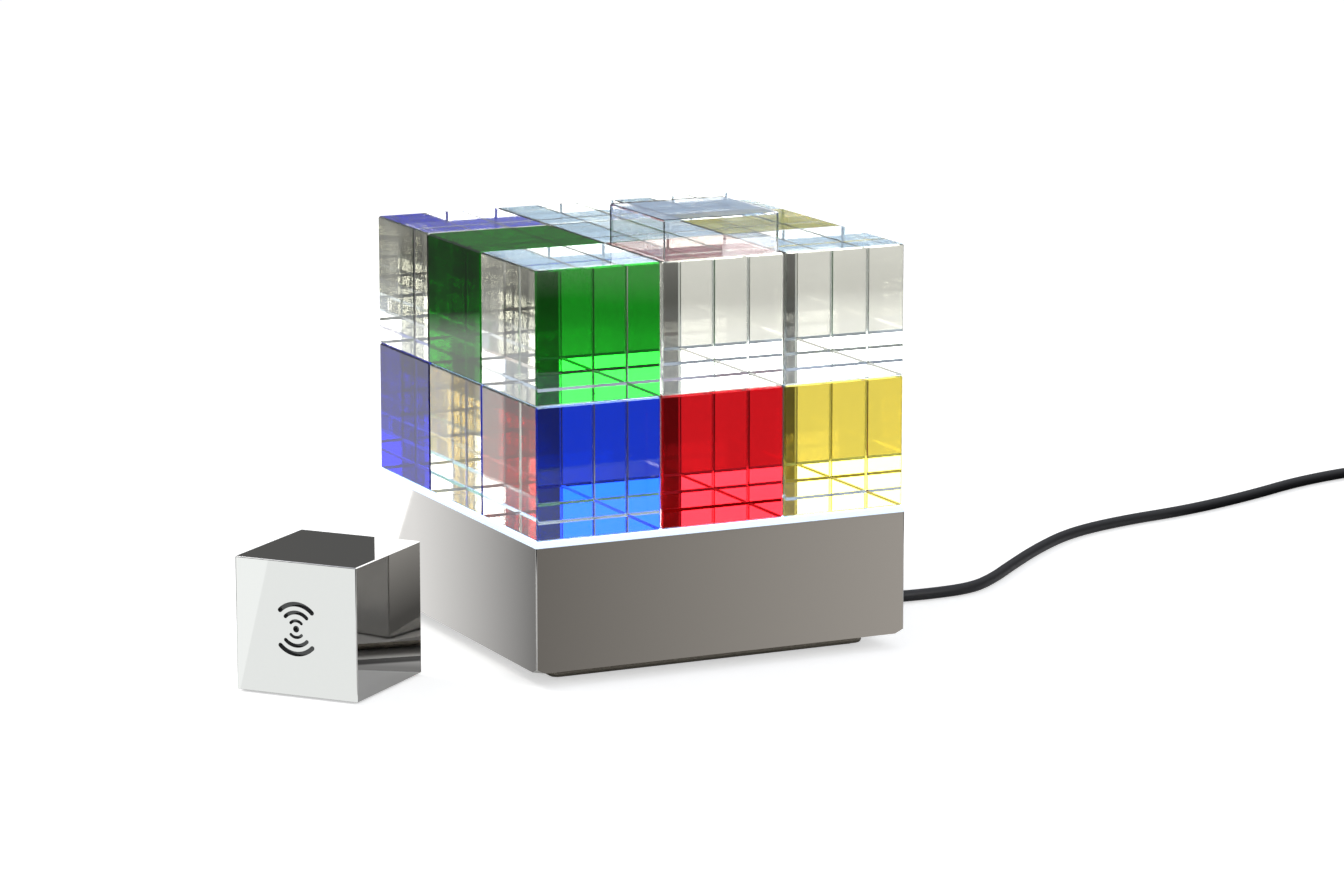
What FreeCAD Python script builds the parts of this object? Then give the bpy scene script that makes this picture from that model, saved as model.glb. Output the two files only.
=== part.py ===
import FreeCAD, Part
import math
import os
import re
import Sketcher
from FreeCAD import Placement, Rotation, Vector

# Crystal cube light: a low square metal base glows through an opal plate, and eighteen loose
# glass cubes (three by three, in two layers) and one thin-walled clear cap stand on it. A metal
# cube of the same size is its wireless controller. A low-voltage lead runs from the base to a
# plug-in adapter.
#
# Frame: millimetres, +Z up, z = 0 on the table, origin under the middle of the base.
# The front wall faces -Y and the lead leaves on the +X side.

COLUMNS = 3
ROWS = 3
LAYERS = 2
CELL_LEDS = 4            # count of light sources under each glass column
COIL_QUARTERS_IN = 16    # count of quarter turns in which the put-away lead spirals in
COIL_QUARTERS_OUT = 17   # count of quarter turns in which it spirals out, one layer up
SLOT_ARCS = 3            # count of arcs above and below the dot on the controller
CHIP_PLACES = [(-16, -16), (-4, 0), (7, 0), (18, 0)]   # mm from the middle of the driver board
BOOT_GROOVES = 5         # count of flex grooves on the strain relief at the base
ADAPTER_GROOVES = 7      # count of flex grooves on the adapter's strain relief

# name, size in mm (or degrees), what it is
DRIVING_SIZES = [
    # glass
    ("cube_side", 50.0, "edge of a glass cube"),
    ("cube_gap", 0.5, "air gap between two columns of cubes"),
    ("layer_gap", 0.1, "air film under each glass piece"),
    ("cube_chamfer", 0.6, "polished edge of a cube"),
    ("cap_side", 47.0, "edge of the thin-walled clear cap on top"),
    ("cap_height", 15.0, "its height"),
    ("cap_wall", 0.8, "its walls and its top"),
    ("cap_chamfer", 0.25, "its polished edge"),
    # base shell
    ("base_margin", 0.8, "base wall outside the glass block, each side"),
    ("sheet", 1.2, "sheet metal of the shell and pan"),
    ("wall_height", 47.0, "visible wall of the base"),
    ("flange_width", 22.0, "bottom flange of the shell, turned inwards"),
    ("corner_radius", 0.5, "upright corners of the shell"),
    ("clip_wide", 3.6, "corner relief of the bottom bend, along the wall"),
    ("clip_tall", 1.7, "corner relief, up the wall"),
    # recessed pan under the base
    ("plinth_height", 6.0, "pan and pad together, table to wall"),
    ("plinth_inset", 11.0, "pan behind the wall"),
    ("pan_corner", 3.5, "upright corners of the pan"),
    ("pan_edge", 1.5, "rounded bottom edge of the pan"),
    ("pad_thickness", 0.8, "soft pad under the pan"),
    ("pad_inset", 4.0, "pad behind the pan's side"),
    ("boss_radius", 4.0, "screw boss in the pan"),
    ("screw_inset", 6.8, "screw axis behind the pan's side"),
    # fasteners
    ("thread_radius", 1.45, "shank of the large screws"),
    ("thread_hole", 1.5, "threaded hole for them"),
    ("screw_hole", 1.7, "clearance hole for them"),
    ("head_radius", 2.8, "their head"),
    ("head_height", 1.7, "its height"),
    ("pan_screw_length", 14.0, "screw from the pan to the post"),
    ("top_screw_length", 8.0, "shank of the screws in the light board"),
    ("small_thread", 0.95, "shank of the small screws"),
    ("small_hole", 1.0, "threaded hole for them"),
    ("small_head", 1.9, "their head"),
    ("small_head_height", 1.2, "its height"),
    ("small_slack", 0.2, "clearance hole for them, over the threaded one"),
    ("small_screw_length", 5.0, "their shank"),
    # inner frame and light engine
    ("chassis_thickness", 1.5, "inner plate on the flange"),
    ("fit_gap", 0.3, "loose fit of inner pieces in their housings"),
    ("post_radius", 4.0, "pillar under the light board"),
    ("post_height", 21.3, "its height"),
    ("post_thread_depth", 9.0, "its threaded holes"),
    ("spreader_thickness", 2.0, "aluminium heat spreader"),
    ("board_thickness", 1.6, "circuit boards"),
    ("led_side", 5.0, "one light source"),
    ("led_height", 1.5, "its height"),
    ("led_spread", 10.0, "light source from the middle of its cell"),
    ("box_wall", 1.6, "outer wall of the white light box"),
    ("cell_wall", 1.2, "its inner walls"),
    ("diffuser_proud", 2.2, "glowing edge above the wall"),
    ("diffuser_rebate", 2.0, "part of the opal plate inside the wall"),
    ("diffuser_inset", 0.2, "opal plate behind the wall's outside"),
    # driver board
    ("driver_wide", 84.0, "driver board, left to right"),
    ("driver_deep", 60.0, "driver board, front to back"),
    ("driver_x", -12.0, "its middle"),
    ("standoff_height", 5.0, "standoff under it"),
    ("standoff_radius", 2.75, "standoff"),
    ("standoff_inset", 4.0, "standoff from the board's edges"),
    ("choke_radius", 6.5, "round choke"),
    ("choke_height", 7.0, "its height"),
    ("choke_x", 4.0, "its place, from the middle of the board"),
    ("choke_y", -14.0, "its place"),
    ("capacitor_radius", 4.0, "filter capacitor"),
    ("capacitor_height", 11.0, "its height"),
    ("capacitor_x", 22.0, "place of the first one, from the middle of the board"),
    ("capacitor_y", 16.0, "its place"),
    ("capacitor_gap", 3.0, "between two capacitors"),
    ("chip_side", 6.0, "driver chip"),
    ("chip_height", 1.2, "its height"),
    ("radio_wide", 24.0, "radio module"),
    ("radio_deep", 16.0, "radio module, front to back"),
    ("radio_board", 1.0, "its board"),
    ("radio_can", 2.4, "its shielding can"),
    ("radio_x", -14.0, "its place, from the middle of the board"),
    ("radio_edge", 2.0, "from the edge of the driver board"),
    ("antenna_wide", 6.0, "bare end of the module's board"),
    ("terminal_wide", 9.0, "supply terminal, along the lead"),
    ("terminal_deep", 11.0, "supply terminal, across the lead"),
    ("terminal_height", 9.0, "its height"),
    ("header_wide", 8.0, "plug and socket of the ribbon"),
    ("header_deep", 5.0, "plug and socket, front to back"),
    ("header_height", 6.0, "their height"),
    ("header_clearance", 1.0, "plug beside its light source"),
    ("header_hang", 3.0, "plug below the heat spreader"),
    ("ribbon_wide", 6.4, "wire ribbon"),
    ("ribbon_thickness", 1.0, "its thickness"),
    # lead at the base
    ("lead_diameter", 4.6, "round low-voltage lead"),
    ("lead_y", -9.0, "where it leaves the base, from the middle"),
    ("lead_straight", 14.0, "it goes straight out so far"),
    ("lead_height", 2.8, "its axis there, above the table"),
    ("notch_wide", 6.6, "notch in the pan for the strain relief"),
    ("notch_deep", 12.0, "notch, inwards from the pan's side"),
    ("boot_length", 22.0, "strain relief outside the pan"),
    ("boot_root", 2.75, "its radius at the pan"),
    ("boot_tip", 2.5, "its radius at the lead"),
    ("groove_depth", 0.35, "flex grooves of both strain reliefs"),
    ("inner_lead_radius", 1.6, "lead inside the base"),
    ("inner_lead_height", 3.8, "its axis at the strain relief"),
    ("inner_bend", 6.0, "its bends"),
    ("lead_rise_x", 42.0, "where it rises through the chassis"),
    ("lead_hole", 4.0, "radius of the hole there"),
    # put-away coil
    ("coil_x", 447.0, "middle of the coil"),
    ("coil_y", 86.0, "middle of the coil"),
    ("coil_inner", 17.6, "its tightest turn"),
    ("coil_clearance", 0.5, "between turns and between layers"),
    ("coil_approach", 22.0, "straight run of the lead before the coil"),
    ("lead_rest", 2.35, "axis of the lead on the table"),
    # plug-in adapter
    ("adapter_wide", 42.0, "adapter"),
    ("adapter_long", 68.0, "adapter, along the lead"),
    ("adapter_height", 30.0, "adapter, back to pin face"),
    ("adapter_seam", 20.0, "height of the seam of its shells"),
    ("adapter_wall", 2.0, "its shells"),
    ("adapter_round", 4.0, "its upright corners"),
    ("adapter_edge", 1.5, "its rounded face edges"),
    ("adapter_boot_length", 36.0, "its strain relief"),
    ("adapter_boot_root", 4.6, "its radius at the shell"),
    ("adapter_boot_tip", 2.9, "its radius at the lead"),
    ("pin_radius", 2.0, "mains pin"),
    ("pin_collar_radius", 3.2, "its foot in the shell"),
    ("pin_length", 19.0, "its length outside"),
    ("pin_spacing", 18.6, "between the pins"),
    ("pin_from_end", 17.0, "pins from the far end of the adapter"),
    ("pin_tip", 1.2, "rounded tip of a pin"),
    ("circuit_height", 6.0, "adapter board above the table"),
    ("transformer_side", 18.0, "transformer"),
    ("transformer_height", 13.0, "its height"),
    ("transformer_y", 2.0, "its place, from the middle of the adapter"),
    ("store_x", 8.0, "place of the storage capacitor"),
    ("store_y", 22.0, "place of the storage capacitor"),
    ("circuit_post", 1.5, "radius of the posts under the adapter board"),
    ("circuit_post_inset", 7.0, "posts from the sides of the adapter"),
    ("snug_gap", 0.05, "close fit of round pieces"),
    # controller
    ("controller_side", 50.0, "edge of the controller"),
    ("controller_x", -140.0, "its middle"),
    ("controller_y", -32.0, "its middle"),
    ("controller_turn", -50.0, "degrees about +Z"),
    ("controller_wall", 1.5, "its metal walls"),
    ("controller_round", 0.4, "its edges"),
    ("controller_pad", 0.6, "soft pad under it"),
    ("cover_thickness", 2.0, "its bottom cover"),
    ("cover_recess", 0.4, "cover inside the shell"),
    ("lug_side", 6.0, "screw lugs in its corners"),
    ("lug_height", 9.0, "their height"),
    ("window_wide", 22.0, "black window behind the slots"),
    ("window_tall", 26.0, "black window"),
    ("window_thickness", 1.5, "black window"),
    ("dot_radius", 1.25, "dot in the middle of the front"),
    ("arc_step", 3.1, "from arc to arc"),
    ("arc_wide", 1.15, "slot of the smallest arc"),
    ("arc_grow", 0.3, "each further slot is wider by this"),
    ("arc_half_angle", 45.0, "degrees, half of each arc"),
    ("card_wide", 34.0, "upright circuit board"),
    ("card_tall", 40.0, "upright circuit board"),
    ("card_y", -17.0, "its front face"),
    ("rib_height", 5.0, "card guides on the cover"),
    ("rib_thickness", 1.2, "card guides"),
    ("rib_inset", 3.0, "card guides, from the sides of the card"),
    ("card_chip_drop", 10.0, "first chip from the top of the card"),
    ("cell_radius", 5.25, "battery cell"),
    ("cell_end_gap", 1.25, "room for the contact spring at each end of a cell"),
    ("knob_radius", 2.0, "contact on the end of a cell"),
    ("knob_length", 1.0, "its length"),
    ("cradle_floor", 1.2, "battery cradle"),
    ("cradle_height", 7.0, "battery cradle"),
    ("cradle_wide", 40.0, "battery cradle, between the card guides and the back"),
]

doc = FreeCAD.newDocument("crystal_cube_light")
sizes = doc.addObject("Spreadsheet::Sheet", "sizes")
for row, (alias, number, meaning) in enumerate(DRIVING_SIZES, start=1):
    sizes.set(f"A{row}", meaning)
    sizes.set(f"B{row}", str(number))
    sizes.setAlias(f"B{row}", alias)
doc.recompute()

ALIASES = re.compile(r"\b(" + "|".join(alias for alias, _, _ in DRIVING_SIZES) + r")\b")

# Lengths that several pieces share, as formulas of the sheet's cells.
PITCH = "(cube_side + cube_gap)"
BLOCK = f"({COLUMNS} * {PITCH} - cube_gap)"
BASE = f"({BLOCK} + 2 * base_margin)"
INSIDE = f"({BASE} - 2 * sheet)"
PAN = f"({BASE} - 2 * plinth_inset)"
INNER_FIT = f"({INSIDE} - 2 * fit_gap)"
SCREW_AT = f"({PAN} / 2 - screw_inset)"
Z_CHASSIS = "(plinth_height + sheet)"
Z_POSTS = f"({Z_CHASSIS} + chassis_thickness)"
Z_SPREADER = f"({Z_POSTS} + post_height)"
Z_LIGHT_BOARD = f"({Z_SPREADER} + spreader_thickness)"
Z_LIGHT_BOX = f"({Z_LIGHT_BOARD} + board_thickness)"
Z_WALL_TOP = "(plinth_height + wall_height)"
Z_REBATE = f"({Z_WALL_TOP} - diffuser_rebate)"
Z_GLASS = f"({Z_WALL_TOP} + diffuser_proud + layer_gap)"
Z_DRIVER = f"({Z_POSTS} + standoff_height)"
Z_PARTS = f"({Z_DRIVER} + board_thickness)"
HEADER_X = f"(led_spread + (led_side + header_wide) / 2 + header_clearance - {PITCH})"
TURN_STEP = "(lead_diameter + coil_clearance)"
COIL_END_RADIUS = f"(coil_inner + {COIL_QUARTERS_OUT} / 4 * {TURN_STEP})"

nodes = {}


def formula(text):
    """The text with each size written as a cell of the sheet."""
    return ALIASES.sub(r"sizes.\1", str(text))


def value(text):
    """The number that a formula gives."""
    result = sizes.evalExpression(formula(text))
    return float(getattr(result, "Value", result))


def bind(thing, **formulas):
    for name, text in formulas.items():
        thing.setExpression(name, formula(text))


def put(thing, x="0", y="0", z="0"):
    for axis, text in (("x", x), ("y", y), ("z", z)):
        thing.setExpression(f".Placement.Base.{axis}", formula(text))
    return thing


def keep(label, thing):
    """Name a finished sub-part: its label is also its file."""
    thing.Label = label
    nodes[label] = thing
    return thing


def block(name, wide, deep, tall, x="0", y="0", z="0"):
    """Box whose foot is centred on x, y."""
    thing = doc.addObject("Part::Box", name)
    bind(thing, Length=wide, Width=deep, Height=tall)
    return put(thing, f"{x} - ({wide}) / 2", f"{y} - ({deep}) / 2", z)


def rod(name, radius, tall, x="0", y="0", z="0"):
    thing = doc.addObject("Part::Cylinder", name)
    bind(thing, Radius=radius, Height=tall)
    return put(thing, x, y, z)


def cone(name, low, high, tall, x="0", y="0", z="0"):
    thing = doc.addObject("Part::Cone", name)
    bind(thing, Radius1=low, Radius2=high, Height=tall)
    return put(thing, x, y, z)


def cut(name, body, tools):
    """Take every tool out of a body, and make sure that something went."""
    thing = doc.addObject("Part::Cut", name)
    thing.Base = body
    thing.Tool = tools[0] if len(tools) == 1 else group(f"{name}_tools", tools)
    doc.recompute()
    if thing.Shape.Volume >= body.Shape.Volume:
        raise ValueError(f"{name}: nothing was cut")
    return thing


def join(name, things):
    thing = doc.addObject("Part::MultiFuse", name)
    thing.Shapes = things
    return thing


def group(name, things, place=None):
    """Several separate solids, or one piece, moved as a whole."""
    thing = doc.addObject("Part::Compound", name)
    thing.Links = things
    if place is not None:
        thing.Placement = place
    return thing


def feature(name, shape, place=None):
    thing = doc.addObject("Part::Feature", name)
    thing.Shape = shape
    if place is not None:
        thing.Placement = place
    return thing


def edge_names(shape, wanted):
    return [f"Edge{i}" for i, edge in enumerate(shape.Edges, start=1) if wanted(edge)]


def is_upright(edge):
    first, last = edge.Vertexes[0].Point, edge.Vertexes[-1].Point
    return abs(first.x - last.x) + abs(first.y - last.y) < 1e-6 < abs(first.z - last.z)


def lies_at(z):
    return lambda edge: all(abs(vertex.Z - z) < 1e-6 for vertex in edge.Vertexes)


# PartDesign bodies

def new_body(name):
    return doc.addObject("PartDesign::Body", name)


def new_sketch(body, name, z="0"):
    plane = next(item for item in body.Origin.OriginFeatures if item.Role == "XY_Plane")
    sketch = body.newObject("Sketcher::SketchObject", name)
    sketch.AttachmentSupport = [(plane, "")]
    sketch.MapMode = "FlatFace"
    sketch.setExpression(".AttachmentOffset.Base.z", formula(z))
    return sketch


def hold(sketch, name, constraint, text):
    """Add a dimension to a sketch and bind it to the sheet."""
    index = sketch.addConstraint(Sketcher.Constraint(*constraint, value(text)))
    sketch.renameConstraint(index, name)
    sketch.setExpression(f"Constraints.{name}", formula(text))


def draw_rectangle(sketch, wide, deep, x="0", y="0"):
    """Rectangle centred on x, y, held by its size and its low corner."""
    first = sketch.GeometryCount
    low_x, low_y = f"{x} - ({wide}) / 2", f"{y} - ({deep}) / 2"
    left, front = value(low_x), value(low_y)
    right, back = left + value(wide), front + value(deep)
    corners = [Vector(left, front, 0), Vector(right, front, 0),
               Vector(right, back, 0), Vector(left, back, 0)]
    for side in range(4):
        sketch.addGeometry(Part.LineSegment(corners[side], corners[(side + 1) % 4]), False)
    for side in range(4):
        after = first + (side + 1) % 4
        sketch.addConstraint(Sketcher.Constraint("Coincident", first + side, 2, after, 1))
        lies = "Horizontal" if side % 2 == 0 else "Vertical"
        sketch.addConstraint(Sketcher.Constraint(lies, first + side))
    tag = f"r{first}"
    hold(sketch, f"{tag}wide", ("DistanceX", first, 1, first, 2), wide)
    hold(sketch, f"{tag}deep", ("DistanceY", first + 1, 1, first + 1, 2), deep)
    hold(sketch, f"{tag}left", ("DistanceX", -1, 1, first, 1), low_x)
    hold(sketch, f"{tag}front", ("DistanceY", -1, 1, first, 1), low_y)


def draw_circle(sketch, radius, x="0", y="0"):
    first = sketch.GeometryCount
    centre = Vector(value(x), value(y), 0)
    sketch.addGeometry(Part.Circle(centre, Vector(0, 0, 1), value(radius)), False)
    tag = f"c{first}"
    hold(sketch, f"{tag}radius", ("Radius", first), radius)
    hold(sketch, f"{tag}across", ("DistanceX", -1, 1, first, 3), x)
    hold(sketch, f"{tag}along", ("DistanceY", -1, 1, first, 3), y)


def pad(body, sketch, tall):
    grown = body.newObject("PartDesign::Pad", f"{sketch.Name}_pad")
    grown.Profile = sketch
    bind(grown, Length=tall)
    doc.recompute()
    return grown


def pocket(body, sketch, deep, upwards=False):
    """Cut a sketch down into the body, or upwards, and make sure that it cut."""
    before = body.Shape.Volume
    taken = body.newObject("PartDesign::Pocket", f"{sketch.Name}_pocket")
    taken.Profile = sketch
    taken.Reversed = upwards
    bind(taken, Length=deep)
    doc.recompute()
    if body.Shape.Volume >= before:
        raise ValueError(f"{sketch.Name}: nothing was cut")
    return taken


def soften(body, kind, size, wanted):
    """Fillet or Chamfer on the edges of a body's last feature that a test wants."""
    last = body.Tip
    dressed = body.newObject(f"PartDesign::{kind}", f"{body.Name}_{kind.lower()}")
    dressed.Base = (last, edge_names(last.Shape, wanted))
    bind(dressed, **{"Radius" if kind == "Fillet" else "Size": size})
    doc.recompute()
    return dressed


def plate(name, wide, deep, thickness, z="0", holes=()):
    """Flat plate with round holes, each (radius, x, y), standing at z."""
    body = new_body(name)
    sketch = new_sketch(body, f"{name}_outline", z)
    draw_rectangle(sketch, wide, deep)
    for radius, x, y in holes:
        draw_circle(sketch, radius, x, y)
    pad(body, sketch, thickness)
    return body


def four_corners(reach_x, reach_y=None):
    """The four corners of a rectangle about the origin, as formulas."""
    reach_y = reach_y or reach_x
    return [(f"{side} * {reach_x}", f"{end} * {reach_y}") for side in (-1, 1) for end in (-1, 1)]


# Tubes

def arc_edge(start, corner, end):
    """Arc from start to end, tangent to the two equal legs that meet at the corner."""
    middle = (start + end) * 0.5
    half = (end - start).Length / 2
    reach = (corner - start).Length
    lift = half * math.tan(math.acos(min(1.0, half / reach)) / 2)
    return Part.Arc(start, middle + (corner - middle).normalize() * lift, end).toShape()


def straight(start, end):
    return Part.LineSegment(start, end).toShape()


def path_along(points, bend=None):
    """Straight runs joined by tangent arcs, and the arcs' radii."""
    edges, radii = [], []
    here = points[0]
    for before, corner, after in zip(points, points[1:], points[2:]):
        back, ahead = (before - corner), (after - corner)
        half_turn = (math.pi - back.getAngle(ahead)) / 2
        reach = 0.45 * min(back.Length, ahead.Length)
        if bend is not None:
            reach = bend * math.tan(half_turn)
        start = corner + back.normalize() * reach
        end = corner + ahead.normalize() * reach
        edges += [straight(here, start), arc_edge(start, corner, end)]
        radii.append(reach / math.tan(half_turn))
        here = end
    edges.append(straight(here, points[-1]))
    return Part.Wire(edges), radii


def biarc(start, start_way, end, end_way):
    """Two tangent arcs between two points with given directions."""
    span = end - start
    ways = start_way + end_way
    bend = 2 * (1 - start_way.dot(end_way))
    along = span.dot(ways)
    reach = (-along + math.sqrt(along ** 2 + bend * span.dot(span))) / bend
    first_corner = start + start_way * reach
    last_corner = end - end_way * reach
    meeting = (first_corner + last_corner) * 0.5
    return [arc_edge(start, first_corner, meeting), arc_edge(meeting, last_corner, end)]


def tube(wire, radius):
    """Round tube along a wire; its volume has to be its section times its length."""
    first = wire.OrderedEdges[0]
    start = first.valueAt(first.FirstParameter)
    way = first.tangentAt(first.FirstParameter)
    ring = Part.Wire([Part.Circle(start, way, radius).toShape()])
    solid = wire.makePipeShell([ring], True, False)
    wanted = math.pi * radius ** 2 * wire.Length
    if abs(solid.Volume - wanted) > 0.005 * wanted:
        raise ValueError("the tube's volume is not its section times its length")
    return solid


def least_gap(wire, diameter, step=1.5):
    """Smallest space between parts of a wound tube that are far apart along it."""
    points = wire.discretize(Distance=step)
    apart = int(3 * diameter / step)
    return min(one.distanceToPoint(other)
               for i, one in enumerate(points)
               for other in points[i + apart:]) - diameter


def boot(root, tip, length, grooves):
    """Strain relief along +X from the origin: a taper with square flex grooves."""
    depth = value("groove_depth")
    spacing = length / (2 * grooves + 1)
    outline = [Vector(0, 0, 0), Vector(0, root, 0)]
    for index in range(2 * grooves + 1):
        start, end = index * spacing, (index + 1) * spacing
        drop = depth * (index % 2)
        outline += [Vector(at, root + (tip - root) * at / length - drop, 0) for at in (start, end)]
    outline.append(Vector(length, 0, 0))
    outline = [point for i, point in enumerate(outline) if i == 0 or point != outline[i - 1]]
    face = Part.Face(Part.makePolygon(outline + outline[:1]))
    return face.revolve(Vector(0, 0, 0), Vector(1, 0, 0), 360)


# ---------------------------------------------------------------- glass

def glass_cube(label, x, y, z):
    body = new_body(label)
    sketch = new_sketch(body, f"{label}_outline")
    draw_rectangle(sketch, "cube_side", "cube_side")
    pad(body, sketch, "cube_side")
    soften(body, "Chamfer", "cube_chamfer", lambda edge: True)
    put(body, x, y, z)
    return keep(label, body)


# column, row, layer of each coloured cube: column 0 is left, row 0 front, layer 0 low
COLOURED = {(0, 1, 1): "green_cube", (0, 2, 0): "blue_cube",
            (1, 0, 0): "red_cube", (2, 1, 0): "yellow_cube"}
CAP_COLUMN, CAP_ROW = 1, 0


def from_middle(index, count):
    """Place of a column or row, counted in pitches from the middle one."""
    return f"({index - (count - 1) / 2} * {PITCH})"


def make_glass():
    clear_count = 0
    for layer in range(LAYERS):
        for row in range(ROWS):
            for column in range(COLUMNS):
                label = COLOURED.get((column, row, layer))
                if label is None:
                    clear_count += 1
                    label = f"clear_cube_{clear_count:02d}"
                height = f"{Z_GLASS} + {layer} * (cube_side + layer_gap)"
                glass_cube(label, from_middle(column, COLUMNS), from_middle(row, ROWS), height)


def make_cap():
    """Thin-walled clear cap, open below, that stands on one column of glass."""
    body = new_body("clear_cap")
    outline = new_sketch(body, "clear_cap_outline")
    draw_rectangle(outline, "cap_side", "cap_side")
    pad(body, outline, "cap_height")
    soften(body, "Chamfer", "cap_chamfer", lambda edge: not lies_at(0)(edge))
    inside = new_sketch(body, "clear_cap_inside")
    draw_rectangle(inside, "cap_side - 2 * cap_wall", "cap_side - 2 * cap_wall")
    pocket(body, inside, "cap_height - cap_wall", upwards=True)
    put(body, from_middle(CAP_COLUMN, COLUMNS), from_middle(CAP_ROW, ROWS),
        f"{Z_GLASS} + {LAYERS} * (cube_side + layer_gap)")
    keep("clear_cap", body)


# ---------------------------------------------------------------- base

def corner_relief(turn):
    """Small tetrahedron that clips the bottom bend where two walls meet."""
    half, low = value(BASE) / 2, value("plinth_height")
    wide, tall = value("clip_wide"), value("clip_tall")
    corner = Vector(half, half, low)
    tips = [corner - Vector(wide, 0, 0), corner - Vector(0, wide, 0), corner + Vector(0, 0, tall)]
    triangles = [(corner, tips[0], tips[1]), (corner, tips[1], tips[2]),
                 (corner, tips[2], tips[0]), (tips[0], tips[2], tips[1])]
    faces = [Part.Face(Part.makePolygon([*triangle, triangle[0]])) for triangle in triangles]
    solid = Part.Solid(Part.Shell(faces))
    solid.rotate(Vector(0, 0, 0), Vector(0, 0, 1), 90 * turn)
    return feature(f"relief_{turn}", solid)


def make_shell():
    body = new_body("shell_body")
    outline = new_sketch(body, "shell_outline", "plinth_height")
    draw_rectangle(outline, BASE, BASE)
    pad(body, outline, "wall_height")
    soften(body, "Fillet", "corner_radius", is_upright)
    inside = new_sketch(body, "shell_inside", Z_CHASSIS)
    draw_rectangle(inside, INSIDE, INSIDE)
    pocket(body, inside, "wall_height", upwards=True)
    opening = new_sketch(body, "shell_opening", Z_CHASSIS)
    draw_rectangle(opening, f"{BASE} - 2 * flange_width", f"{BASE} - 2 * flange_width")
    pocket(body, opening, "2 * sheet")
    holes = new_sketch(body, "shell_holes", Z_CHASSIS)
    for x, y in four_corners(SCREW_AT):
        draw_circle(holes, "screw_hole", x, y)
    pocket(body, holes, "2 * sheet")
    keep("housing_shell", cut("shell_clipped", body, [corner_relief(turn) for turn in range(4)]))


def make_pan():
    body = new_body("pan_body")
    outline = new_sketch(body, "pan_outline", "pad_thickness")
    draw_rectangle(outline, PAN, PAN)
    pad(body, outline, "plinth_height - pad_thickness")
    soften(body, "Fillet", "pan_corner", is_upright)
    soften(body, "Fillet", "pan_edge", lies_at(value("pad_thickness")))
    inside = new_sketch(body, "pan_inside", "pad_thickness + sheet")
    draw_rectangle(inside, f"{PAN} - 2 * sheet", f"{PAN} - 2 * sheet")
    pocket(body, inside, "plinth_height", upwards=True)
    bosses = new_sketch(body, "pan_bosses", "pad_thickness + sheet / 2")
    for x, y in four_corners(SCREW_AT):
        draw_circle(bosses, "boss_radius", x, y)
    pad(body, bosses, "plinth_height - pad_thickness - sheet / 2")
    holes = new_sketch(body, "pan_holes", "plinth_height")
    for x, y in four_corners(SCREW_AT):
        draw_circle(holes, "screw_hole", x, y)
    pocket(body, holes, "plinth_height")
    sinks = [cone(f"pan_sink_{i}", "head_radius + fit_gap", "screw_hole", "head_height + fit_gap",
                  x, y, "pad_thickness") for i, (x, y) in enumerate(four_corners(SCREW_AT))]
    notch = block("pan_notch", "2 * notch_deep", "notch_wide", "plinth_height",
                  f"{PAN} / 2", "lead_y", "0")
    keep("plinth_pan", cut("pan_finished", body, sinks + [notch]))
    pad_side = f"{PAN} - 2 * pad_inset"
    sheet_pad = block("pad_sheet", pad_side, pad_side, "pad_thickness")
    pad_notch = block("pad_notch", "2 * notch_deep", "notch_wide", "2 * pad_thickness",
                      f"{PAN} / 2", "lead_y", "-pad_thickness / 2")
    keep("base_pad", cut("pad_finished", sheet_pad, [pad_notch]))


def make_pan_screws():
    screws = []
    for index, (x, y) in enumerate(four_corners(SCREW_AT)):
        head = cone(f"pan_head_{index}", "head_radius", "thread_radius", "head_height",
                    x, y, "pad_thickness")
        shank = rod(f"pan_shank_{index}", "thread_radius", "pan_screw_length",
                    x, y, "pad_thickness")
        screws.append(join(f"pan_screw_{index}", [head, shank]))
    keep("pan_screws", group("pan_screw_set", screws))


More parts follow.
